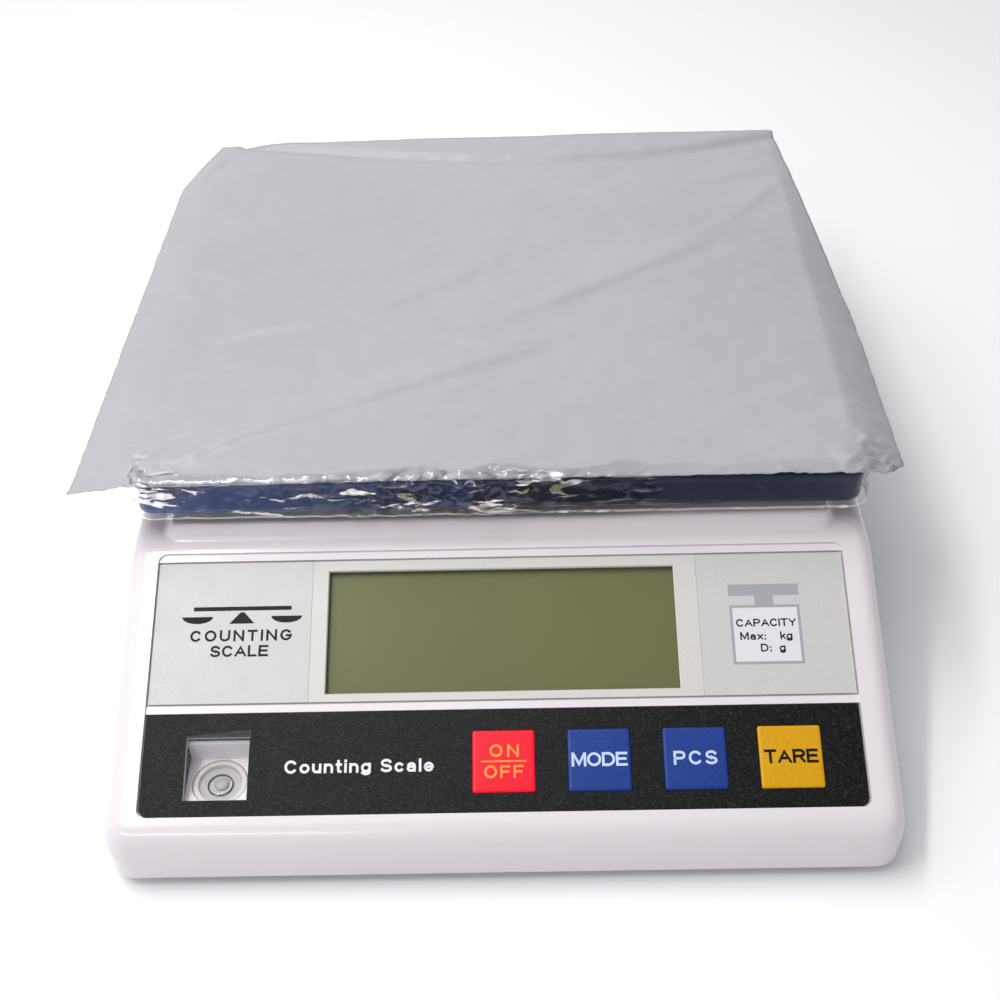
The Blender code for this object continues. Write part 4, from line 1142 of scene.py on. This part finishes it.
def make_foot(number):
    """The wheel with its fluted rim and threaded stud, and the rubber pad below it."""
    low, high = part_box(f"foot_screw_{number}")
    centre = middle_of(f"foot_screw_{number}")
    radius, wheel_top = (high.x - low.x) / 2, low.z + 0.006
    flutes, sides = 16, 160
    turns = [2 * math.pi * i / sides for i in range(sides)]

    def fluted(r, z, depth):
        reaches = [r - depth * (0.5 - 0.5 * math.cos(flutes * t)) ** 3 for t in turns]
        return [(centre.x + reach * math.cos(t), centre.y + reach * math.sin(t), z)
                for reach, t in zip(reaches, turns)]

    rings = [fluted(radius - 0.0006, low.z, 0.0006), fluted(radius, low.z + 0.0006, 0.0009),
             fluted(radius, wheel_top - 0.0006, 0.0009), fluted(radius - 0.0006, wheel_top, 0.0006),
             fluted(0.0050, wheel_top, 0.0)]
    threads, steps = 15, 6
    start, end = wheel_top + 0.0003, high.z - 0.0003
    for i in range(threads * steps + 1):
        depth = 0.0003 * (0.5 - 0.5 * math.cos(2 * math.pi * i / steps))
        rings.append(fluted(0.003 - depth, start + (end - start) * i / (threads * steps), 0.0))
    wheel = new_object(f"foot_wheel_{number}", loft(rings), "dark", sharp=40)
    low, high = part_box(f"foot_pad_{number}")
    edge = high.x - centre.x
    profile = [(0.0060, low.z), (edge - 0.0004, low.z), (edge, low.z + 0.0004), (edge, high.z - 0.0006),
               (edge - 0.0008, high.z), (0.0005, high.z)]
    pad = new_object(f"foot_rubber_{number}", turned(profile, 48, centre), "rubber", sharp=40)
    fit(wheel, f"foot_screw_{number}_body", f"foot_screw_{number}")
    fit(pad, f"foot_pad_{number}_body", f"foot_pad_{number}")


# ---- load cell -------------------------------------------

def make_load_cell():
    """The beam of the load cell, between its two blocks, cut by many cross-planes along its length."""
    low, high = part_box("load_cell")
    middle = (low + high) / 2
    base_end, platform_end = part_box("cell_base_block")[0].y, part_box("cell_top_block")[1].y
    beam = block((low.x, high.x), (low.y, high.y), (low.z, high.z))
    beam = new_object("load_cell_beam", beam, "aluminium")
    bore, spread, slit, beyond = 0.007, 0.014, 0.004, 0.01
    bores_y = (middle.y - spread, middle.y + spread)
    for y in bores_y:
        hole = turned([(bore, -high.x - beyond), (bore, high.x + beyond)], 48)
        hole.transform(Matrix.Translation((0, y, middle.z)) @ Matrix.Rotation(math.radians(90), 4, "Y"))
        cut(beam, hole)
    cut(beam, block((low.x - beyond, high.x + beyond), bores_y, (middle.z - slit, middle.z + slit)))
    for end, z_range in (("top", (middle.z - slit, high.z + beyond)),
                         ("base", (low.z - beyond, middle.z + slit))):
        for screw in numbered(f"cell_{end}_screw", 2):
            cut(beam, turned([(0.003, z) for z in z_range], 32, (0, middle_of(screw).y)))
    bm = bmesh.new()
    bm.from_mesh(beam.data)
    steps = 24
    for i in range(1, steps):
        y = platform_end + (base_end - platform_end) * i / steps
        everything = bm.verts[:] + bm.edges[:] + bm.faces[:]
        bmesh.ops.bisect_plane(bm, geom=everything, plane_co=(0, y, 0), plane_no=(0, 1, 0))
    bm.to_mesh(beam.data)
    bm.free()
    beam.data.set_sharp_from_angle(angle=math.radians(35))
    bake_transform(beam)
    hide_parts("load_cell")


# ---- camera, light, floor --------------------------------

def make_camera():
    data = bpy.data.cameras.new("camera")
    data.sensor_width = 36
    data.lens = 50.4
    camera = bpy.data.objects.new("camera", data)
    camera.location = (0.0061, -0.4065, 0.3999)
    camera.rotation_euler = (math.radians(46.53), math.radians(1.242), math.radians(-0.2605))
    bpy.context.scene.collection.objects.link(camera)
    bpy.context.scene.camera = camera


def area_light(name, place, target, size, power):
    data = bpy.data.lights.new(name, "AREA")
    data.shape = "RECTANGLE"
    data.size, data.size_y = size
    data.energy = power
    light = bpy.data.objects.new(name, data)
    light.location = place
    light.rotation_euler = (Vector(target) - Vector(place)).to_track_quat("-Z", "Y").to_euler()
    bpy.context.scene.collection.objects.link(light)


def make_stage():
    world = bpy.data.worlds.new("studio")
    world.use_nodes = True
    tree = world.node_tree
    sky = tree.nodes["Background"]
    sky.inputs["Strength"].default_value = 0.56
    place = tree.nodes.new("ShaderNodeTexCoord")
    parts = tree.nodes.new("ShaderNodeVectorMath")
    parts.operation = "DOT_PRODUCT"
    parts.inputs[1].default_value = (0.75, -0.65, 0.1)
    tree.links.new(place.outputs["Generated"], parts.inputs[0])
    sides = tree.nodes.new("ShaderNodeMapRange")
    sides.inputs["From Min"].default_value = -0.8
    sides.inputs["From Max"].default_value = 0.8
    tree.links.new(parts.outputs["Value"], sides.inputs["Value"])
    shades = tree.nodes.new("ShaderNodeValToRGB")
    shades.color_ramp.elements[0].color = (1.35, 1.36, 1.38, 1)
    shades.color_ramp.elements[1].color = (0.50, 0.50, 0.53, 1)
    tree.links.new(sides.outputs["Result"], shades.inputs["Fac"])
    tree.links.new(shades.outputs["Color"], sky.inputs["Color"])
    bpy.context.scene.world = world
    bpy.context.scene.view_settings.view_transform = "Standard"
    area_light("softbox", (-0.52, -0.02, 1.05), (-0.08, -0.05, 0.05), (1.0, 1.2), 6.0)
    area_light("tube", (-0.30, 0.02, 0.85), (-0.1, -0.03, 0.06), (1.0, 0.07), 3.4)
    area_light("front_tube", (-0.45, -0.95, 0.9), (-0.05, -0.15, 0.02), (0.6, 0.04), 1.3)
    bm = bmesh.new()
    bmesh.ops.create_grid(bm, x_segments=4, y_segments=4, size=4)
    floor = new_object("floor", bm, None)
    surface = Surface("pale_floor", 0.9)
    surface.colour(surface.ramp(surface.noise(3, 2), [(0.3, (0.93, 0.93, 0.94)), (0.7, (0.95, 0.95, 0.96))]))
    floor.data.materials.append(surface.material)


def paint_carried_nodes():
    for finish, nodes in CARRIED.items():
        for node in nodes:
            repaint(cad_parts[node], finish)


FINISH = make_finishes()
make_camera()
make_stage()
make_housing()
make_key_sheet()
make_display_sheets()
for key_node, key_finish, key_slot in zip(KEY_NODES, ("red", "blue", "blue", "yellow"),
                                          ("key_red", "key_blue", "key_blue", "key_yellow")):
    make_key(key_node, key_finish)
make_print()
make_level()
make_pan_film()
make_wrap()
make_clear_skirt()
for foot_number in range(1, 5):
    make_foot(foot_number)
make_load_cell()
paint_carried_nodes()
